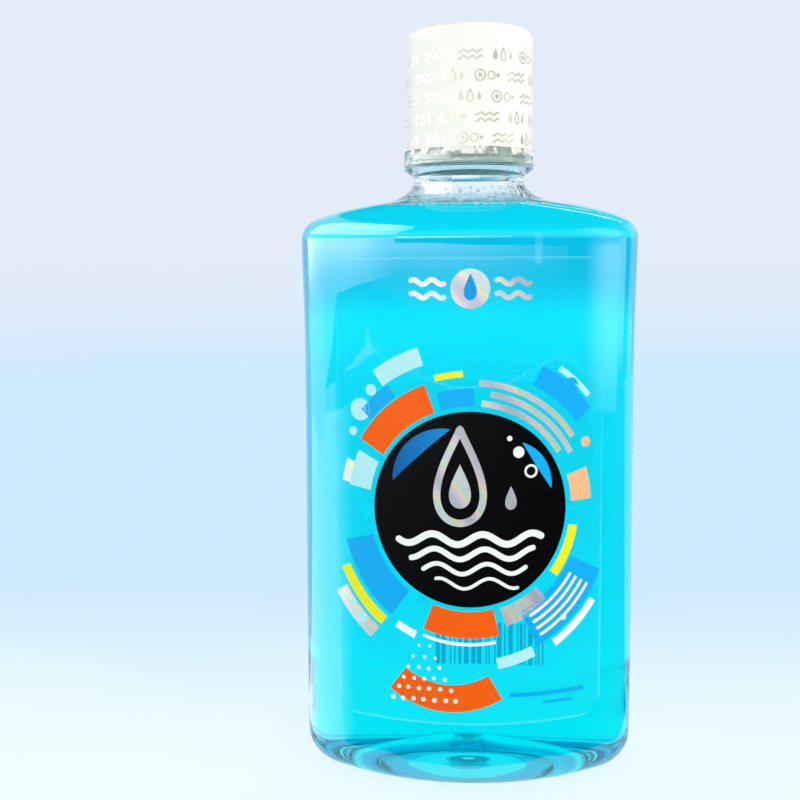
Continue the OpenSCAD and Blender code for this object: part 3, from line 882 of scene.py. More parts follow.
def make_cup():
    """The threaded inner cup, with its dosing end, its bead and its drive ribs."""
    body, cap = Body(), Cap()
    s, lead, depth = cap.sizes, body.sizes.thread_lead, body.sizes.thread_out
    clearance = 0.3 * MM
    bore = body.sizes.finish_r + depth + clearance
    outer = bore + CUP_WALL
    ledge, step = body.lip_z + 1.3 * MM, body.lip_z + 2.3 * MM
    top = s.top_z - 1.5 * MM
    flange_r, flange_z = s.cap_r - s.wall - 0.1 * MM, s.rim_z + 0.5 * MM
    flange_top = flange_z + 0.9 * MM
    bead_z, bead_half, bead_out = body.lip_z - 0.45 * MM, 0.35 * MM, 0.6 * MM
    profile = rounded([(MIDDLE_R, top, 0),
                       (DOSE_R + 0.8 * MM, top, 0.7 * MM),
                       (DOSE_R + CUP_WALL, step, 0.5 * MM),
                       (outer, step, 0.6 * MM),
                       (outer, flange_top, 0.3 * MM),
                       (flange_r, flange_top, 0.2 * MM),
                       (flange_r, flange_z, 0.25 * MM),
                       (bore, flange_z, 0.4 * MM),
                       (bore, bead_z - bead_half, 0.1 * MM),
                       (bore - bead_out, bead_z, 0.25 * MM),
                       (bore, bead_z + bead_half, 0.1 * MM),
                       (bore, ledge, 0.1 * MM),
                       (DOSE_R, ledge, 0.3 * MM),
                       (DOSE_R - 0.3 * MM, top - CUP_TOP, 1.2 * MM),
                       (MIDDLE_R, top - CUP_TOP, 0)])
    profile = spaced(profile, 0.45 * MM)
    # The cup's thread hangs under the neck's, with a small play between their flanks
    flank = (THREAD_ROOT - THREAD_CREST) / 2
    under = THREAD_ROOT - flank + 0.2 * MM - flank * clearance / depth
    thread_start = body.lip_z - LIP_TO_THREAD - lead * THREAD_TURNS - under

    def thread(turn, r, z):
        inside = (r < bore + 0.05 * MM) & (z < bead_z - 0.4 * MM) & (z > flange_z + 0.4 * MM)
        ridge = helix(turn, z, thread_start, lead, THREAD_TURNS, THREAD_ROOT, THREAD_CREST)
        return np.where(inside, -ridge * depth, 0)

    bm = bmesh.new()
    add_rings(bm, lathed(profile, circle(168), thread), first=(0, 0, top), last=(0, 0, top - CUP_TOP))
    near = outer - 0.5 * MM
    far = flange_r - s.draft * (ledge - s.rim_z) / (s.top_z - s.rim_z)
    rib = rounded([(near, -RIB_HALF, 0), (far, -RIB_HALF, 0.3 * MM),
                   (far, RIB_HALF, 0.3 * MM), (near, RIB_HALF, 0)], 4)
    for k in range(RIBS):
        add_rib(bm, rib, 2 * np.pi * k / RIBS, flange_z + 0.45 * MM, ledge)
    return finished("cap_cup", bm, sharp=50)


def add_rib(bm, section, turn, low, high):
    """One upright rib between two heights, from its (radius, width) section at an angle."""
    sin, cos = math.sin(turn), math.cos(turn)
    verts = [[bm.verts.new((r * cos - w * sin, r * sin + w * cos, z)) for r, w in section]
             for z in (low, high)]
    for i in range(len(section)):
        j = (i + 1) % len(section)
        bm.faces.new((verts[0][i], verts[0][j], verts[1][j], verts[1][i]))
    bm.faces.new(verts[0][::-1])
    bm.faces.new(verts[1])


def make_seal():
    """The lip seal, a flat foam ring with soft edges."""
    body = Body()
    low, high = body.lip_z + SEAT, body.lip_z + SEAT + SEAL_T
    outside = body.sizes.finish_r + body.sizes.thread_out
    soft = 0.3 * MM
    mid = (SEAL_HOLE_R + outside) / 2
    profile = rounded([(mid, low, 0), (outside, low, soft), (outside, high, soft),
                       (SEAL_HOLE_R, high, soft), (SEAL_HOLE_R, low, soft), (mid - 0.01 * MM, low, 0)])
    bm = bmesh.new()
    add_rings(bm, lathed(profile, circle(128)), wrap=True)
    return finished("seal_ring", bm, sharp=60)


def waves(turn, *parts):
    """A sum of waves round the cap, each a count, a phase and a weight."""
    return sum(weight * np.sin(count * turn + phase) for count, phase, weight in parts)


def sleeve_swell(turn, z, low_z, edge_z):
    """How far the shrunk film stands off the shell: crinkles at its lower edge and its top."""
    low = np.exp(-(z - low_z) / (1.3 * MM))
    high = np.exp(-np.clip(edge_z - z, 0, None) / (1.6 * MM))
    fine = waves(turn, (23, 1.7, 1), (37, 0.4, 0.7), (61, 2.9, 0.5))
    broad = waves(turn, (7, 0.6, 1), (11, 2.2, 0.6))
    slow = np.sin(3 * turn + z * 140) + np.sin(5 * turn - z * 210 + 1)
    return (0.012 * slow + 0.03 + low * (0.045 * fine + 0.04 * broad + 0.06) + high * 0.02 * fine) * MM


def make_sleeve():
    """The printed film shrunk over the cap, folded in over its top edge."""
    cap = Cap()
    s = cap.sizes
    turns = circle(288)
    crinkled = cap.low_z + 3 * MM
    rise = np.concatenate([np.linspace(cap.low_z, crinkled, 12),
                           np.linspace(crinkled, cap.edge_z, 22)[1:]])
    wall = np.column_stack([cap.shell_r(rise), rise])
    bend = cap.edge_arc(0, 90)[1:]
    across = np.linspace(cap.edge_x, cap.edge_x - s.sleeve_fold, 10)[1:]
    fold = np.column_stack([across, np.full(len(across), s.top_z)])
    path = np.concatenate([wall, bend, fold])
    along = np.gradient(path, axis=0)
    along /= np.linalg.norm(along, axis=1)[:, None]
    normal = np.column_stack([along[:, 1], -along[:, 0]])

    def layer(out):
        """Rings of one skin of the film. Its lowest ring is cut a little unevenly."""
        rows = []
        for k, ((r, z), (nr, nz)) in enumerate(zip(path, normal)):
            swell = sleeve_swell(turns, np.full(len(turns), z), cap.low_z, cap.edge_z)
            if k >= len(wall):
                swell = np.clip(swell, 0, 0.07 * MM)
            off = SEAT + out + swell
            rr, zz = r + nr * off, z + nz * off
            if k == 0:
                zz = zz + 0.09 * MM * (1 + np.sin(9 * turns + 1) * np.sin(4 * turns))
            rows.append(np.column_stack([rr * np.cos(turns), rr * np.sin(turns), zz * np.ones_like(turns)]))
        return rows

    bm = bmesh.new()
    add_rings(bm, layer(s.sleeve_t) + layer(0)[::-1], wrap=True)
    return finished("cap_sleeve", bm, sharp=70)


def make_hem():
    """The sleeve's unprinted hem: a crinkled strip of clear film below the white."""
    cap = Cap()
    turns = circle(360)
    crinkle = waves(turns, (19, 0.5, 1), (31, 2.1, 0.8), (53, 1.2, 0.7))
    hang = 2.1 + waves(turns, (6, 0.4, 0.12), (13, 1.9, 0.1))

    def layer(out):
        """Rings of one skin of the strip, from just above the white's edge down to its own edge."""
        rows = []
        for share in np.linspace(0, 1, 9):
            z = cap.low_z + (0.25 - share * hang) * MM
            fold = 0.06 * np.sin(9 * share + 5 * turns) + 0.075 * crinkle * ease(share * 1.4)
            r = cap.shell_r(z) + SEAT + out + (0.12 + fold) * MM * min(1, share * 3)
            rows.append(np.column_stack([r * np.cos(turns), r * np.sin(turns), z]))
        return rows

    bm = bmesh.new()
    add_rings(bm, layer(cap.sizes.sleeve_t) + layer(0)[::-1], wrap=True)
    return finished("sleeve_hem", bm, sharp=70)


def on_sleeve(cap):
    """A placer that lays (round, height) points on the sleeve."""
    def place(points, out):
        z = points[..., 1]
        turn = points[..., 0] / cap.sizes.cap_r - np.pi / 2
        r = cap.shell_r(z) + SEAT + cap.sizes.sleeve_t + sleeve_swell(turn, z, cap.low_z, cap.edge_z) + out
        return np.stack([r * np.cos(turn), r * np.sin(turn), z], axis=-1)
    return place


def sleeve_artwork():
    """The sleeve's foil print: drops, rings and short waves in staggered rows."""
    cap = Cap()
    pitch = cap.sizes.motif_pitch / MM
    low, high = cap.low_z / MM + 2.2, cap.edge_z / MM - 1.0
    around = 2 * np.pi * cap.sizes.cap_r / MM
    count = 12
    shapes = []
    for row in range(int((high - low) / pitch) + 1):
        v = low + row * pitch
        for k in range(count):
            u = (k + 0.5 * (row % 2)) * around / count - around / 2
            kind = (k + row) % 3
            if kind == 0:
                shapes += [hoop(u - 1.9, v, 1.35, 0.4), disc(u - 1.9, v, 0.6),
                           hoop(u + 1.1, v, 0.95, 0.36), disc(u + 2.9, v, 0.5)]
            elif kind == 1:
                shapes += [wave(u, v + rise, 6.6, 0.38, 2.2, 0.46) for rise in (-0.75, 0.75)]
            else:
                shapes += [drop(u - 2.3, v, 2.8), drop_line(u, v, 3.0, 0.4), drop(u + 2.3, v, 2.1)]
    return shapes


# Materials

WATER_IOR = 1.33
# What lamps pass through the rinse's drops and film
RINSE_TINT = (0.85, 0.96, 1)


def node(tree, kind, sockets=None, **settings):
    """A shader node. Each socket gets a value, or a link where the value is another socket."""
    made = tree.nodes.new(f"ShaderNode{kind}")
    for key, value in settings.items():
        setattr(made, key, value)
    for key, value in (sockets or {}).items():
        if isinstance(value, bpy.types.NodeSocket):
            tree.links.new(value, made.inputs[key])
        else:
            made.inputs[key].default_value = value
    return made


def maths(tree, operation, *values):
    """The result of one Math node."""
    return node(tree, "Math", dict(enumerate(values)), operation=operation).outputs[0]


def mixed(tree, factor, first, second, blend="MIX"):
    """The result of mixing two colours."""
    made = node(tree, "Mix", {0: factor, 6: first, 7: second}, data_type="RGBA", blend_type=blend)
    return made.outputs[2]


def ramp(tree, factor, stops):
    """Colours or greys along a factor, from (position, grey or colour) stops."""
    made = node(tree, "ValToRGB", {0: factor})
    elements = made.color_ramp.elements
    while len(elements) < len(stops):
        elements.new(0.5)
    for element, (position, value) in zip(elements, stops):
        element.position = position
        element.color = (*value, 1) if isinstance(value, tuple) else (value, value, value, 1)
    return made.outputs[0]


def rgba(value):
    """A property's colour with full alpha."""
    return (*value, 1.0)


def new_group(name, inputs, outputs):
    """An empty shader node group and its input and output nodes."""
    tree = bpy.data.node_groups.new(name, "ShaderNodeTree")
    for title, kind, value in inputs:
        socket = tree.interface.new_socket(title, in_out="INPUT", socket_type=kind)
        socket.default_value = value
    for title, kind in outputs:
        tree.interface.new_socket(title, in_out="OUTPUT", socket_type=kind)
    return tree, tree.nodes.new("NodeGroupInput"), tree.nodes.new("NodeGroupOutput")


def new_material(name):
    """A new material, its tree and its empty output."""
    material = bpy.data.materials.new(name)
    material.use_nodes = True
    tree = material.node_tree
    tree.nodes.clear()
    return material, tree, tree.nodes.new("ShaderNodeOutputMaterial")


def once(name, make, *values):
    """A material by its name, made the first time that it is asked for."""
    return bpy.data.materials.get(name) or make(name, *values)


def object_place(tree):
    """A point's place in the piece's own space, which is the frame's."""
    return node(tree, "TexCoord").outputs["Object"]


def object_axes(tree):
    """A point's three coordinates in the piece's own space."""
    return node(tree, "SeparateXYZ", {0: object_place(tree)}).outputs


def noise(tree, scale, detail=1.0):
    """Soft noise over a piece."""
    made = node(tree, "TexNoise", {"Vector": object_place(tree), "Scale": scale, "Detail": detail})
    return made.outputs[0]


def spread(tree, value, low, high, at_low=0.0, at_high=1.0, **settings):
    """A value between two limits, as a share of the way from one to the other."""
    made = node(tree, "MapRange", {0: value, 1: low, 2: high, 3: at_low, 4: at_high}, **settings)
    return made.outputs[0]


def bumped(tree, height, distance, strength=1.0):
    """The normal that a height gives."""
    return node(tree, "Bump", {"Height": height, "Distance": distance, "Strength": strength}).outputs[0]


def placed(tree, group, sockets):
    """A node group placed in a material with its own values."""
    return node(tree, "Group", sockets, node_tree=group).outputs


def show(tree, out, shader):
    """Puts a shader on the surface."""
    tree.links.new(shader.outputs[0], out.inputs["Surface"])


def lamp_through(tree, out, shader, tint):
    """Puts a shader on the surface that lets the rays of lamps through, tinted, so that what is
    behind it is lit."""
    path = node(tree, "LightPath").outputs["Is Shadow Ray"]
    clear = node(tree, "BsdfTransparent", {"Color": rgba(tint)}).outputs[0]
    show(tree, out, node(tree, "MixShader", {0: path, 1: shader.outputs[0], 2: clear}))


def moulded_surface():
    """Group: the faint ripple, hair scratches and roughness of a moulded or shrunk plastic."""
    if "Moulded surface" in bpy.data.node_groups:
        return bpy.data.node_groups["Moulded surface"]
    tree, given, out = new_group(
        "Moulded surface",
        [("Ripple scale", "NodeSocketFloat", 60.0), ("Roughness", "NodeSocketFloat", 0.03),
         ("Scratches", "NodeSocketFloat", 0.1)],
        [("Roughness", "NodeSocketFloat"), ("Height", "NodeSocketFloat")])
    ripple = noise(tree, given.outputs["Ripple scale"], 2.0)
    stretched = node(tree, "Mapping", {"Vector": object_place(tree), "Scale": (900.0, 900.0, 60.0),
                                       "Rotation": (0.2, 0.5, 0.1)})
    hair = node(tree, "TexNoise", {"Vector": stretched.outputs[0], "Scale": 1.0, "Detail": 3.0})
    marks = ramp(tree, hair.outputs[0], [(0.66, 0.0), (0.72, 1.0)])
    marks = maths(tree, "MULTIPLY", marks, ramp(tree, noise(tree, 35.0), [(0.45, 0.0), (0.65, 1.0)]))
    scratch = maths(tree, "MULTIPLY", marks, given.outputs["Scratches"])
    rough = maths(tree, "ADD", given.outputs["Roughness"], scratch)
    height = maths(tree, "SUBTRACT", ripple, maths(tree, "MULTIPLY", scratch, 0.4))
    tree.links.new(rough, out.inputs["Roughness"])
    tree.links.new(height, out.inputs["Height"])
    return tree


def print_grain():
    """Group: the mottle, tone and slight tooth of a printed layer of ink."""
    if "Print grain" in bpy.data.node_groups:
        return bpy.data.node_groups["Print grain"]
    tree, given, out = new_group(
        "Print grain",
        [("Color", "NodeSocketColor", (1, 1, 1, 1)), ("Mottle", "NodeSocketFloat", 0.12)],
        [("Color", "NodeSocketColor"), ("Roughness", "NodeSocketFloat"), ("Height", "NodeSocketFloat")])
    tooth = noise(tree, 3800.0, 2.0)
    cloud = ramp(tree, noise(tree, 320.0, 3.0), [(0.3, 0.0), (0.7, 1.0)])
    shade = maths(tree, "MULTIPLY", cloud, given.outputs["Mottle"])
    darker = mixed(tree, 1.0, given.outputs["Color"], (0.86, 0.88, 0.9, 1), "MULTIPLY")
    tree.links.new(mixed(tree, shade, given.outputs["Color"], darker), out.inputs["Color"])
    tree.links.new(maths(tree, "MULTIPLY_ADD", tooth, 0.22, 0.2), out.inputs["Roughness"])
    tree.links.new(tooth, out.inputs["Height"])
    return tree


def foil_tints():
    """Group: the pastel bands of a metallised foil, which change over the surface."""
    if "Foil tints" in bpy.data.node_groups:
        return bpy.data.node_groups["Foil tints"]
    tree, given, out = new_group(
        "Foil tints",
        [("Color", "NodeSocketColor", (0.7, 0.7, 0.72, 1)), ("Band scale", "NodeSocketFloat", 40.0),
         ("Strength", "NodeSocketFloat", 0.6)],
        [("Color", "NodeSocketColor"), ("Roughness", "NodeSocketFloat")])
    turned = node(tree, "Mapping", {"Vector": object_place(tree), "Rotation": (0.0, 0.7, 0.0)})
    bands = node(tree, "TexWave", {"Vector": turned.outputs[0], "Scale": given.outputs["Band scale"],
                                   "Distortion": 2.5, "Detail": 1.0, "Detail Scale": 1.2})
    pastel = ramp(tree, bands.outputs["Fac"],
                  [(0.0, linear(190, 196, 206)), (0.25, linear(233, 214, 232)),
                   (0.45, linear(250, 222, 214)), (0.62, linear(240, 244, 205)),
                   (0.8, linear(205, 240, 214)), (1.0, linear(226, 233, 240))])
    tone = mixed(tree, given.outputs["Strength"], given.outputs["Color"], pastel)
    tree.links.new(tone, out.inputs["Color"])
    tree.links.new(maths(tree, "MULTIPLY_ADD", noise(tree, 2500.0), 0.25, 0.2), out.inputs["Roughness"])
    return tree


def clear_plastic(name, tint, ior, roughness, ripple_scale, ripple, scratches):
    """Clear moulded plastic with the faint ripple of its mould."""
    material, tree, out = new_material(name)
    surface = placed(tree, moulded_surface(), {"Ripple scale": ripple_scale, "Roughness": roughness,
                                               "Scratches": scratches})
    glass = node(tree, "BsdfPrincipled", {"Base Color": rgba(tint), "IOR": ior,
                                          "Transmission Weight": 1.0,
                                          "Roughness": surface["Roughness"],
                                          "Normal": bumped(tree, surface["Height"], ripple)})
    lamp_through(tree, out, glass, tint)
    return material


def rinse_liquid():
    """The blue rinse: water-clear at its skin, and coloured by its depth."""
    depth = bpy.context.scene.bottle_colours.rinse_depth
    material, tree, out = new_material("rinse_liquid")
    glass = node(tree, "BsdfPrincipled", {"Base Color": (1, 1, 1, 1), "IOR": WATER_IOR, "Roughness": 0.0,
                                          "Transmission Weight": 1.0,
                                          "Normal": bumped(tree, noise(tree, 25.0), 0.00002)})
    lamp_through(tree, out, glass, (1, 1, 1))
    # It takes up all red light, and very little of the green and the blue, per metre
    green, blue = 1.6, 0.25
    soak = node(tree, "VolumeAbsorption", {"Color": (0.0, 1 - green / depth, 1 - blue / depth, 1),
                                           "Density": depth})
    tree.links.new(soak.outputs[0], out.inputs["Volume"])
    return material


def froth_bubbles():
    """Thin-skinned white bubbles that catch the light."""
    material, tree, out = new_material("froth")
    tone = ramp(tree, noise(tree, 1400.0), [(0.35, linear(244, 252, 254)), (0.65, linear(255, 255, 255))])
    show(tree, out, node(tree, "BsdfPrincipled", {"Base Color": tone, "Roughness": 0.15,
                                                  "Coat Weight": 0.5, "Coat Roughness": 0.02,
                                                  "Sheen Weight": 1.0, "Sheen Roughness": 0.4}))
    return material


def rinse_drops():
    """Clear drops with the palest tint of the rinse."""
    material, tree, out = new_material("rinse_drops")
    tone = ramp(tree, noise(tree, 500.0), [(0.4, linear(236, 250, 254)), (0.6, linear(252, 254, 255))])
    glass = node(tree, "BsdfPrincipled", {"Base Color": tone, "IOR": 1.14, "Roughness": 0.0,
                                          "Transmission Weight": 1.0,
                                          "Coat Weight": 1.0, "Coat Roughness": 0.02})
    lamp_through(tree, out, glass, RINSE_TINT)
    return material


def wet_film():
    """The rinse's film on the inside of the shoulder, uneven where it has run down."""
    material, tree, out = new_material("wet_film")
    runs = noise(tree, 420.0, 2.0)
    tone = ramp(tree, runs, [(0.35, linear(192, 230, 243)), (0.65, linear(224, 243, 250))])
    fill_z = bpy.context.scene.bottle_sizes.fill_z
    height = maths(tree, "ADD", object_axes(tree)[2], maths(tree, "MULTIPLY", runs, 1.6 * MM))
    dry = spread(tree, height, fill_z + WET_HIGH / 2, fill_z + WET_HIGH)
    tone = mixed(tree, dry, tone, (1, 1, 1, 1))
    glass = node(tree, "BsdfPrincipled", {"Base Color": tone, "IOR": WATER_IOR, "Roughness": 0.02,
                                          "Transmission Weight": 1.0,
                                          "Normal": bumped(tree, runs, 0.0002)})
    lamp_through(tree, out, glass, RINSE_TINT)
    return material


def label_film(name):
    """The labels' clear film, with a pale rim painted along its cut edge, a painted highlight that stands
    in for the glint of the edge.
    """
    material, tree, out = new_material(name)
    sizes = bpy.context.scene.label_sizes
    where = object_axes(tree)
    across = maths(tree, "ABSOLUTE", where[0])
    up = maths(tree, "ABSOLUTE", maths(tree, "SUBTRACT", where[2], sizes.low_z + sizes.height / 2))
    # Painted highlight: within this rim of its cut edge the film turns a little opaque and pale
    rim = 0.7 * MM
    side, end = (spread(tree, way, size / 2 - rim, size / 2)
                 for way, size in ((across, sizes.width), (up, sizes.height)))
    alpha = maths(tree, "MULTIPLY_ADD", maths(tree, "MAXIMUM", side, end), 0.06, 0.003)
    surface = placed(tree, moulded_surface(), {"Ripple scale": 220.0, "Roughness": 0.06, "Scratches": 0.25})
    show(tree, out, node(tree, "BsdfPrincipled", {"Base Color": (0.9, 0.97, 1.0, 1), "Alpha": alpha,
                                                  "Roughness": surface["Roughness"],
                                                  "Normal": bumped(tree, surface["Height"], 0.00003)}))
    return material


def lay_ink(tree, out, tint, mottle, alpha=1.0):
    """Puts a flat printed ink on the surface, with the fine grain of its press."""
    grain = placed(tree, print_grain(), {"Color": tint, "Mottle": mottle})
    show(tree, out, node(tree, "BsdfPrincipled", {"Base Color": grain["Color"], "Alpha": alpha,
                                                  "Roughness": grain["Roughness"],
                                                  "Specular IOR Level": 0.12,
                                                  "Normal": bumped(tree, grain["Height"], 0.000003)}))


def flat_ink(name, tint, alpha=1.0):
    """An ink of one colour."""
    material, tree, out = new_material(name)
    lay_ink(tree, out, rgba(tint), 0.12, alpha)
    return material


def fading_ink(name, first, second, start, stop):
    """An ink that runs from one colour to another across the label, between two places."""
    material, tree, out = new_material(name)
    share = spread(tree, object_axes(tree)[0], start, stop)
    lay_ink(tree, out, mixed(tree, share, rgba(first), rgba(second)), 0.1)
    return material


def foil_ink(name, tint, scale, strength, metallic):
    """Metallised foil print with soft pastel bands."""
    material, tree, out = new_material(name)
    bands = placed(tree, foil_tints(), {"Color": rgba(tint), "Band scale": scale, "Strength": strength})
    grain = placed(tree, print_grain(), {"Color": bands["Color"], "Mottle": 0.3})
    show(tree, out, node(tree, "BsdfPrincipled", {"Base Color": grain["Color"], "Metallic": metallic,
                                                  "Roughness": bands["Roughness"],
                                                  "Normal": bumped(tree, grain["Height"], 0.000004)}))
    return material


def clouded(tree, tint, darkest, value, low, high):
    """A colour that is a little darker where a value is low."""
    return ramp(tree, value, [(low, tuple(part * darkest for part in tint)), (high, tuple(tint))])


def cup_plastic():
    """Natural milky plastic of the inner cup."""
    look = bpy.context.scene.bottle_colours
    material, tree, out = new_material("natural_cup")
    surface = placed(tree, moulded_surface(), {"Ripple scale": 160.0, "Roughness": 0.22, "Scratches": 0.2})
    tone = clouded(tree, look.cup, 0.95, noise(tree, 90.0, 2.0), 0.3, 0.7)
    plastic = node(tree, "BsdfPrincipled", {"Base Color": tone, "IOR": 1.49, "Transmission Weight": 0.2,
                                            "Roughness": surface["Roughness"],
                                            "Normal": bumped(tree, surface["Height"], 0.00004)})
    lamp_through(tree, out, plastic, (0.86, 0.88, 0.87))
    return material


def seal_foam():
    """Fine closed-cell foam of the lip seal, with painted shade in the hollows of its cells."""
    look = bpy.context.scene.bottle_colours
    material, tree, out = new_material("foam_liner")
    cells = node(tree, "TexVoronoi", {"Vector": object_place(tree), "Scale": 3000.0}).outputs["Distance"]
    # Painted shade: the foam is darker in the middle of each cell, where the bump sinks it
    tone = clouded(tree, look.seal, 0.86, cells, 0.0, 0.5)
    show(tree, out, node(tree, "BsdfPrincipled", {"Base Color": tone, "Roughness": 0.75,
                                                  "Normal": bumped(tree, cells, 0.00005, 0.6)}))
    return material


def sleeve_film():
    """The sleeve's opaque white film, glossy and slightly uneven from its shrinking."""
    look = bpy.context.scene.bottle_colours
    material, tree, out = new_material("sleeve_white")
    tone = clouded(tree, look.sleeve, 0.965, noise(tree, 120.0, 2.0), 0.3, 0.7)
    surface = placed(tree, moulded_surface(), {"Ripple scale": 190.0, "Roughness": 0.38, "Scratches": 0.2})
    film = node(tree, "BsdfPrincipled", {"Base Color": tone, "Roughness": surface["Roughness"],
                                         "Specular IOR Level": 0.2,
                                         "Coat Weight": 0.05, "Coat Roughness": 0.14,
                                         "Normal": bumped(tree, surface["Height"], 0.00008)})
    lamp_through(tree, out, film, (0.4, 0.4, 0.38))
    return material


def hem_film():
    """The sleeve's crinkled hem: clear film with white patches painted on it by noise, painted highlights
    that stand in for the glints of its crinkles.
    """
    look = bpy.context.scene.bottle_colours
    material, tree, out = new_material("hem_film")
    # Painted highlights: white patches by noise, for the glints of the crinkled film
    white = ramp(tree, noise(tree, 210.0, 3.0), [(0.47, 0.06), (0.53, 0.95)])
    surface = placed(tree, moulded_surface(), {"Ripple scale": 900.0, "Roughness": 0.08, "Scratches": 0.2})
    show(tree, out, node(tree, "BsdfPrincipled", {"Base Color": rgba(look.sleeve), "Alpha": white,
                                                  "Roughness": surface["Roughness"],
                                                  "Coat Weight": 0.6, "Coat Roughness": 0.03,
                                                  "Normal": bumped(tree, surface["Height"], 0.0003)}))
    return material


# Stage

CAMERA_AT = (-5.54 * MM, -293.06 * MM, 140.81 * MM)
CAMERA_YAW, CAMERA_PITCH, CAMERA_ROLL = (math.radians(a) for a in (-2.61, 7.47, -0.39))
CAMERA_LENS = 48.04
ROOF_Z = 1.3


def add_camera():
    """The camera at the photograph's place."""
    ahead = Vector((math.sin(CAMERA_YAW) * math.cos(CAMERA_PITCH),
                    math.cos(CAMERA_YAW) * math.cos(CAMERA_PITCH), -math.sin(CAMERA_PITCH)))
    right = ahead.cross(Vector((0, 0, 1))).normalized()
    up = right.cross(ahead)
    level = right * math.cos(CAMERA_ROLL) + up * math.sin(CAMERA_ROLL)
    rise = up * math.cos(CAMERA_ROLL) - right * math.sin(CAMERA_ROLL)
    data = bpy.data.cameras.new("camera")
    data.lens, data.sensor_width = CAMERA_LENS, 36
    data.clip_start, data.clip_end = 0.01, 20
    camera = bpy.data.objects.new("camera", data)
    turn = Matrix((level, rise, -ahead)).transposed()
    camera.matrix_world = Matrix.Translation(CAMERA_AT) @ turn.to_4x4()
    bpy.context.scene.collection.objects.link(camera)
    bpy.context.scene.camera = camera


def panel(x0, y0, x1, y1, low, high):
    """Corners of an upright panel over the line from (x0, y0) to (x1, y1)."""
    return [(x0, y0, low), (x1, y1, low), (x1, y1, high), (x0, y0, high)]


def sheet(z, *corners):
    """Corners of a level panel at a height."""
    return [(x, y, z) for x, y in corners]


def stage_plane(name, corners, material, seen_by):
    """A flat stage piece that only some rays see."""
    mesh = bpy.data.meshes.new(name)
    mesh.from_pydata(corners, [], [tuple(range(len(corners)))])
    mesh.materials.append(material)
    obj = bpy.data.objects.new(name, mesh)
    bpy.context.scene.collection.objects.link(obj)
    for ray in ("camera", "diffuse", "glossy", "transmission", "volume_scatter", "shadow"):
        setattr(obj, f"visible_{ray}", ray in seen_by)


# Heights and a sweep that leave a softbox's level as it is, and the sweep's axis that stands for
# the turn round the bottle
EVEN = [(0, 1), (0.5, 1)]
WHOLE_SWEEP = (0, 9, 10, 1)
TURN = 3


def softbox(name, level, heights, panels, sweep=WHOLE_SWEEP, seen_by=("glossy",)):
    """A soft light of one or more panels. Heights are the share of its level at some heights, up to
    0.5 m. Sweep is (axis, from, to, share at from), along an axis or along TURN, the turn round the
    bottle as Y over X."""
    material, tree, out = new_material(name)
    where = object_axes(tree)
    rise = ramp(tree, maths(tree, "MULTIPLY", where[2], 2.0), [(z * 2, share) for z, share in heights])
    axis, start, stop, least = sweep
    place = maths(tree, "DIVIDE", where[1], where[0]) if axis == TURN else where[axis]
    along = spread(tree, place, start, stop, least, 1.0, interpolation_type="SMOOTHSTEP")
    strength = maths(tree, "MULTIPLY", maths(tree, "MULTIPLY", rise, along), level)
    show(tree, out, node(tree, "Emission", {"Color": (0.97, 0.985, 1.0, 1), "Strength": strength}))
    for corners in panels:
        stage_plane(name, corners, material, seen_by)


def add_softboxes():
    """The windows and softboxes that the bottle mirrors, and the soft light on its left."""
    look = bpy.context.scene.stage_look
    softbox("left_window", look.side_box,
            [(0, 0.2), (0.09, 0.2), (0.117, 0.5), (0.15, 1), (0.19, 1), (0.215, 0.15), (0.31, 0.15),
             (0.37, 0.9)],
            [[(-0.42, -0.60, 0.1), (-0.55, -0.24, 0.095), (-0.6, -0.1, 0.0), (-0.66, 0.36, 0.0),
              (-0.66, 0.36, 1.2), (-0.42, -0.60, 1.2)]], (1, -0.62, -0.3, 0.4))
    softbox("left_soft", look.soft_box, EVEN, [panel(-0.5, -0.5, -0.7, 0.2, 0.1, 0.8)],
            seen_by=("diffuse",))
    softbox("left_table", look.side_box * 0.3, EVEN,
            [sheet(0.002, (-0.05, -0.03), (-0.75, -0.6), (-0.75, 0.4), (-0.06, 0.03))],
            (TURN, 0.64, 0.3, 0))
    softbox("front_softbox", look.front_box, [(0.045, 0), (0.08, 0.14), (0.12, 0.6), (0.15, 1), (0.5, 1)],
            [[(-1.15, -0.9, 0.04), (1.0, -0.9, 0.04), (1.0, -0.9, 0.150), (0.1, -0.9, 0.157),
              (-1.15, -0.9, 0.19)]], (0, 1.0, -0.6, 0.15))
    softbox("cap_softbox", look.cap_box, [(0.2, 0.5), (0.25, 1)],
            [panel(-1.1, -0.9, 0.35, -0.9, 0.205, 0.282)], (0, 0.3, -0.4, 0.4))
    heights = [(0, 0.1), (0.06, 0.6), (0.125, 1), (0.15, 1), (0.165, 0.4)]
    softbox("right_softbox", look.right_box, heights, [panel(0.70, -0.46, 0.80, -0.10, 0, 0.8)],
            (1, -0.46, -0.26, 0))
    softbox("right_edge", look.right_box * 0.6, [(0.03, 0), (0.07, 0.7), (0.12, 1), (0.17, 1)],
            [panel(0.80, -0.10, 0.83, 0.12, 0, 0.18)])
    softbox("right_strip", look.right_box * 0.6, heights, [panel(0.49, -0.79, 0.54, -0.76, 0.11, 0.5)])
    softbox("top_strip", look.top_box, EVEN,
            [sheet(1.0, (0.0, y), (1.2, y), (1.2, y + 0.04), (0.0, y + 0.04)) for y in (0.62, 1.0)])


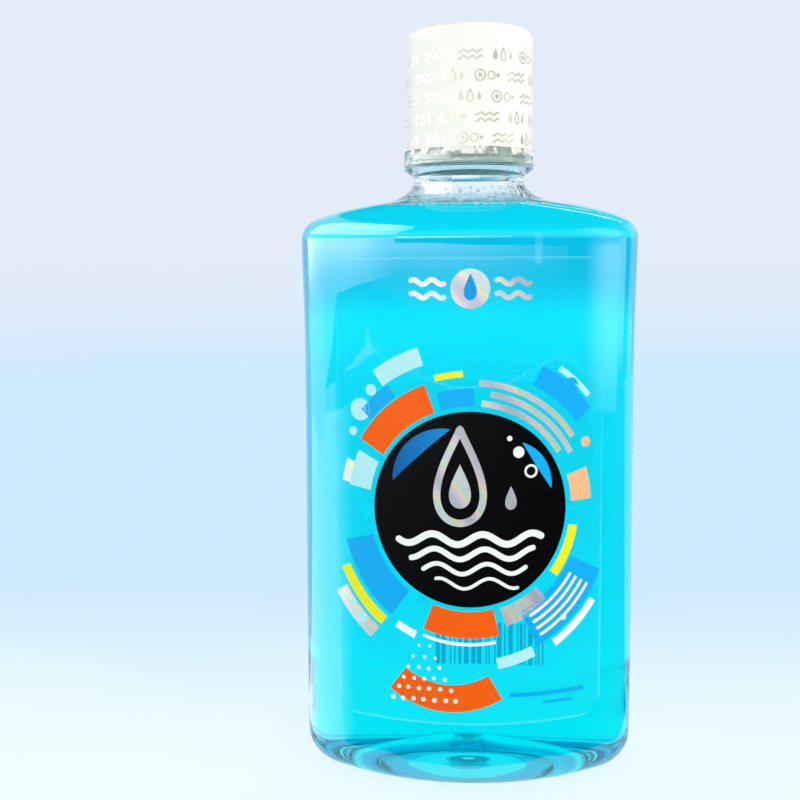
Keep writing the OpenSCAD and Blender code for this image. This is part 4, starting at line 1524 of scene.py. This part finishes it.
def add_cards():
    """Dark cards round the bottle and on its table, which show only in gloss, and glow with painted light
    when seen through glass.
    """
    card = dark_card()
    top = 1.5
    for name, corners in (
            ("front_card", panel(-1.2, -1.0, 1.2, -1.0, 0, top)),
            ("left_card", panel(-0.9, -0.2, -1.2, -1.0, 0, top)),
            ("right_card", panel(1.0, -1.0, 1.0, 0.45, 0, top)),
            ("roof_card", sheet(ROOF_Z, (-0.6, -1.0), (1.6, -1.0), (1.6, 2.2), (-0.6, 2.2))),
            ("table_card", sheet(0.001, (-1.0, -0.98), (0.98, -0.98), (0.98, 0.32), (0.25, 0.09),
                                 (0.075, 0.02), (0.054, -0.02), (0.03, -0.035), (-0.035, -0.035),
                                 (-0.05, -0.024), (-1.0, -0.4)))):
        stage_plane(name, corners, card, ("glossy", "transmission"))


def add_world():
    """An even room light, and a pale backdrop for what looks at it directly or through glass."""
    look = bpy.context.scene.stage_look
    world = bpy.data.worlds.new("room")
    bpy.context.scene.world = world
    world.use_nodes = True
    tree = world.node_tree
    tree.nodes.clear()
    out = tree.nodes.new("ShaderNodeOutputWorld")
    up = node(tree, "SeparateXYZ", {0: node(tree, "TexCoord").outputs["Generated"]}).outputs[2]
    share = spread(tree, up, -0.15, 0.02, interpolation_type="SMOOTHSTEP")
    tone = mixed(tree, share, rgba(look.low), rgba(look.sky))
    backdrop = node(tree, "Background", {"Color": tone, "Strength": 1.0})
    room = node(tree, "Background", {"Color": (1.0, 0.985, 0.98, 1), "Strength": look.level})
    path = node(tree, "LightPath").outputs
    mirrored = maths(tree, "MAXIMUM", path["Is Glossy Ray"], path["Is Transmission Ray"])
    seen = maths(tree, "MAXIMUM", path["Is Camera Ray"], mirrored)
    whole = node(tree, "MixShader", {0: seen, 1: room.outputs[0], 2: backdrop.outputs[0]})
    haze = ramp(tree, spread(tree, up, -0.1, 0.1),
                [(0.31, tuple(look.back_low)), (0.51, tuple(look.back_mid)),
                 (0.68, tuple(look.back_mid)), (0.82, tuple(look.back_high))])
    behind = node(tree, "Background", {"Color": haze, "Strength": look.back_level})
    show(tree, out, node(tree, "MixShader", {0: path["Is Transmission Ray"],
                                             1: whole.outputs[0], 2: behind.outputs[0]}))


def floor_material():
    """Plain pale floor, which fades into the backdrop far from the bottle."""
    look = bpy.context.scene.stage_look
    material, tree, out = new_material("pale_floor")
    far = node(tree, "VectorMath", {0: object_place(tree)}, operation="LENGTH").outputs["Value"]
    fade = spread(tree, far, 0.6, 1.7, interpolation_type="SMOOTHSTEP")
    away = maths(tree, "MULTIPLY_ADD", noise(tree, 9.0, 2.0), 0.05, object_axes(tree)[1])
    share = spread(tree, away, -0.02, 0.21, interpolation_type="SMOOTHSTEP")
    tone = mixed(tree, share, rgba(look.floor), rgba(look.low))
    floor = node(tree, "BsdfPrincipled", {"Base Color": tone, "Roughness": 0.45,
                                          "Specular IOR Level": 0.2})
    path = node(tree, "LightPath").outputs
    mirrored = maths(tree, "MAXIMUM", path["Is Glossy Ray"], path["Is Transmission Ray"])
    seen = maths(tree, "MULTIPLY_ADD", path["Is Camera Ray"], 0.87, mirrored)
    pale = node(tree, "Emission", {"Color": tone, "Strength": 1.0})
    lit = node(tree, "MixShader", {0: seen, 1: floor.outputs[0], 2: pale.outputs[0]})
    clear = node(tree, "BsdfTransparent")
    show(tree, out, node(tree, "MixShader", {0: fade, 1: lit.outputs[0], 2: clear.outputs[0]}))
    return material


def dark_card():
    """A dull dark card that keeps reflections off the front of the bottle. Seen through clear pieces it
    glows, painted light in tints that change with its height, given as a share of the roof card's, and it
    glows pale white for light that has bounced off a diffuse surface."""
    look = bpy.context.scene.stage_look
    material, tree, out = new_material("dark_card")
    card = node(tree, "BsdfDiffuse", {"Color": (0.012, 0.016, 0.02, 1)})
    table, low, high = tuple(look.table_glow), tuple(look.card_glow), tuple(look.pale_glow)
    # Painted light: seen through glass the card glows in these tints, which stand in for how the rinse, the
    # neck and the cap look
    tints = ramp(tree, maths(tree, "DIVIDE", object_axes(tree)[2], ROOF_Z),
                 [(0.01, table), (0.1, low), (0.148, low), (0.162, high), (0.5, high), (0.8, low)])
    path = node(tree, "LightPath").outputs
    # Painted light: rays that bounced off a diffuse surface see the card glow pale white, which lights the
    # cap's inside
    lit = maths(tree, "MINIMUM", path["Diffuse Depth"], 1.0)
    tint = node(tree, "Emission", {"Color": mixed(tree, lit, tints, (0.96, 0.97, 0.95, 1)),
                                   "Strength": 1.0})
    show(tree, out, node(tree, "MixShader", {0: path["Is Transmission Ray"],
                                             1: card.outputs[0], 2: tint.outputs[0]}))
    return material


# Operators

def dress(obj, material, body, slot, *nodes):
    """Gives a piece its material and its body, and hides the frame's pieces that it stands for. The slot is
    not used.
    """
    obj.data.materials.clear()
    obj.data.materials.append(material)
    if nodes:
        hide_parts(*nodes)
    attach(obj, body)


def ink_materials():
    """The inks by name, made once."""
    look = bpy.context.scene.bottle_colours
    made = {ink: once(f"ink_{ink}", flat_ink, getattr(look, ink))
            for ink in ("black", "orange", "yellow", "blue", "aqua", "peach", "white")}
    made["faint"] = once("ink_faint", flat_ink, look.white, 0.16)
    made["marks"] = once("ink_marks", flat_ink, look.navy, 0.35)
    made["navy"] = once("ink_navy", fading_ink, look.navy, look.blue, -20 * MM, 8 * MM)
    made["silver"] = once("ink_silver", foil_ink, linear(214, 218, 224), 26.0, 0.75, 0.35)
    return made


def dress_label(name, way, artwork):
    """A label's film and the prints on it."""
    body = Body()
    sizes = bpy.context.scene.label_sizes
    film = make_film(f"{name}_film", body, way)
    dress(film, once("clear_film", label_film), "filled_bottle", "label_film", f"{name}_label")
    inks = ink_materials()
    base = SEAT + sizes.film_t + PRINT_SEAT
    for ink, shapes in artwork.items():
        obj = make_print(f"{name}_{ink}", shapes, on_face(body, way), base, sizes.ink_t)
        dress(obj, inks[ink], "filled_bottle", "label_film")


class BOTTLE_OT_wall(bpy.types.Operator):
    """Add the clear blown bottle with its threaded neck"""
    bl_idname = "bottle.wall"
    bl_label = "Bottle"

    def execute(self, context):
        look = context.scene.bottle_colours
        plastic = clear_plastic("bottle_plastic", look.plastic, ior=1.45, roughness=0.0,
                                ripple_scale=45.0, ripple=0.00006, scratches=0.05)
        dress(make_bottle(), plastic, "filled_bottle", "clear_bottle", "bottle")
        return {"FINISHED"}


class BOTTLE_OT_rinse(bpy.types.Operator):
    """Add the blue rinse, its froth, and the drops and the wet film above it"""
    bl_idname = "bottle.rinse"
    bl_label = "Rinse"

    def execute(self, context):
        dress(make_rinse(), rinse_liquid(), "filled_bottle", "blue_rinse", "mouthwash")
        dress(make_froth(), froth_bubbles(), "filled_bottle", "blue_rinse")
        dress(make_drops(), rinse_drops(), "filled_bottle", "blue_rinse")
        dress(make_wet_film(), wet_film(), "filled_bottle", "blue_rinse")
        return {"FINISHED"}


class BOTTLE_OT_front_label(bpy.types.Operator):
    """Add the front label and its print"""
    bl_idname = "bottle.front_label"
    bl_label = "Front label"

    def execute(self, context):
        dress_label("front", -1, front_artwork())
        return {"FINISHED"}


class BOTTLE_OT_back_label(bpy.types.Operator):
    """Add the back label and its print"""
    bl_idname = "bottle.back_label"
    bl_label = "Back label"

    def execute(self, context):
        dress_label("back", 1, back_artwork())
        return {"FINISHED"}


class BOTTLE_OT_cap(bpy.types.Operator):
    """Add the measuring cap's clear shell and its threaded inner cup"""
    bl_idname = "bottle.cap"
    bl_label = "Measuring cap"

    def execute(self, context):
        look = context.scene.bottle_colours
        plastic = clear_plastic("cap_plastic", look.shell, ior=1.49, roughness=0.02,
                                ripple_scale=330.0, ripple=0.00022, scratches=0.2)
        dress(make_shell(), plastic, "cap", "clear_cap", "cap_outer_shell")
        dress(make_cup(), cup_plastic(), "cap", "clear_cup", "cap_inner_cup")
        return {"FINISHED"}


class BOTTLE_OT_seal(bpy.types.Operator):
    """Add the lip seal"""
    bl_idname = "bottle.seal"
    bl_label = "Lip seal"

    def execute(self, context):
        dress(make_seal(), seal_foam(), "seal", "seal_foam", "lip_seal")
        return {"FINISHED"}


class BOTTLE_OT_sleeve(bpy.types.Operator):
    """Add the cap's printed sleeve"""
    bl_idname = "bottle.sleeve"
    bl_label = "Cap sleeve"

    def execute(self, context):
        look = context.scene.bottle_colours
        dress(make_sleeve(), sleeve_film(), "cap", "sleeve_film", "shrink_sleeve")
        dress(make_hem(), hem_film(), "cap", "sleeve_film")
        shapes = [(0, shape) for shape in sleeve_artwork()]
        foil = make_print("sleeve_foil", shapes, on_sleeve(Cap()), PRINT_SEAT, FOIL_T)
        ink = foil_ink("sleeve_foil", look.foil, scale=60.0, strength=0.12, metallic=0.3)
        dress(foil, ink, "cap", "sleeve_film")
        return {"FINISHED"}


class BOTTLE_OT_stage(bpy.types.Operator):
    """Add the floor, the lights and the camera"""
    bl_idname = "bottle.stage"
    bl_label = "Stage"

    def execute(self, context):
        add_world()
        stage_plane("floor", sheet(0, (-2, -2), (2, -2), (2, 2), (-2, 2)), floor_material(),
                    ("camera", "diffuse", "glossy", "transmission", "shadow"))
        add_softboxes()
        add_cards()
        add_camera()
        context.scene.view_settings.view_transform = "Standard"
        cycles = context.scene.cycles
        cycles.max_bounces = cycles.glossy_bounces = cycles.transmission_bounces = 40
        cycles.transparent_max_bounces = 24
        return {"FINISHED"}


class BOTTLE_PT_tools(bpy.types.Panel):
    """The bottle's pieces and settings"""
    bl_idname = "BOTTLE_PT_tools"
    bl_label = "Mouthwash bottle"
    bl_space_type = "VIEW_3D"
    bl_region_type = "UI"
    bl_category = "Bottle"

    def draw(self, context):
        for operator in OPERATORS:
            self.layout.operator(operator.bl_idname)
        for name in GROUPS:
            box = self.layout.box()
            settings = getattr(context.scene, name)
            for key in settings.bl_rna.properties.keys():
                if key not in ("rna_type", "name"):
                    box.prop(settings, key)


OPERATORS = (BOTTLE_OT_wall, BOTTLE_OT_rinse, BOTTLE_OT_front_label, BOTTLE_OT_back_label,
             BOTTLE_OT_cap, BOTTLE_OT_seal, BOTTLE_OT_sleeve, BOTTLE_OT_stage)


def register():
    for group in GROUPS.values():
        bpy.utils.register_class(group)
    for name, group in GROUPS.items():
        setattr(bpy.types.Scene, name, bpy.props.PointerProperty(type=group))
    for cls in (*OPERATORS, BOTTLE_PT_tools):
        bpy.utils.register_class(cls)


def unregister():
    for cls in reversed((*OPERATORS, BOTTLE_PT_tools)):
        bpy.utils.unregister_class(cls)
    for name in GROUPS:
        delattr(bpy.types.Scene, name)
    for group in reversed(list(GROUPS.values())):
        bpy.utils.unregister_class(group)


def main():
    """Builds the bottle piece by piece."""
    register()
    bpy.ops.bottle.wall()
    bpy.ops.bottle.rinse()
    bpy.ops.bottle.front_label()
    bpy.ops.bottle.back_label()
    bpy.ops.bottle.cap()
    bpy.ops.bottle.seal()
    bpy.ops.bottle.sleeve()
    bpy.ops.bottle.stage()


if __name__ == "__main__":
    main()
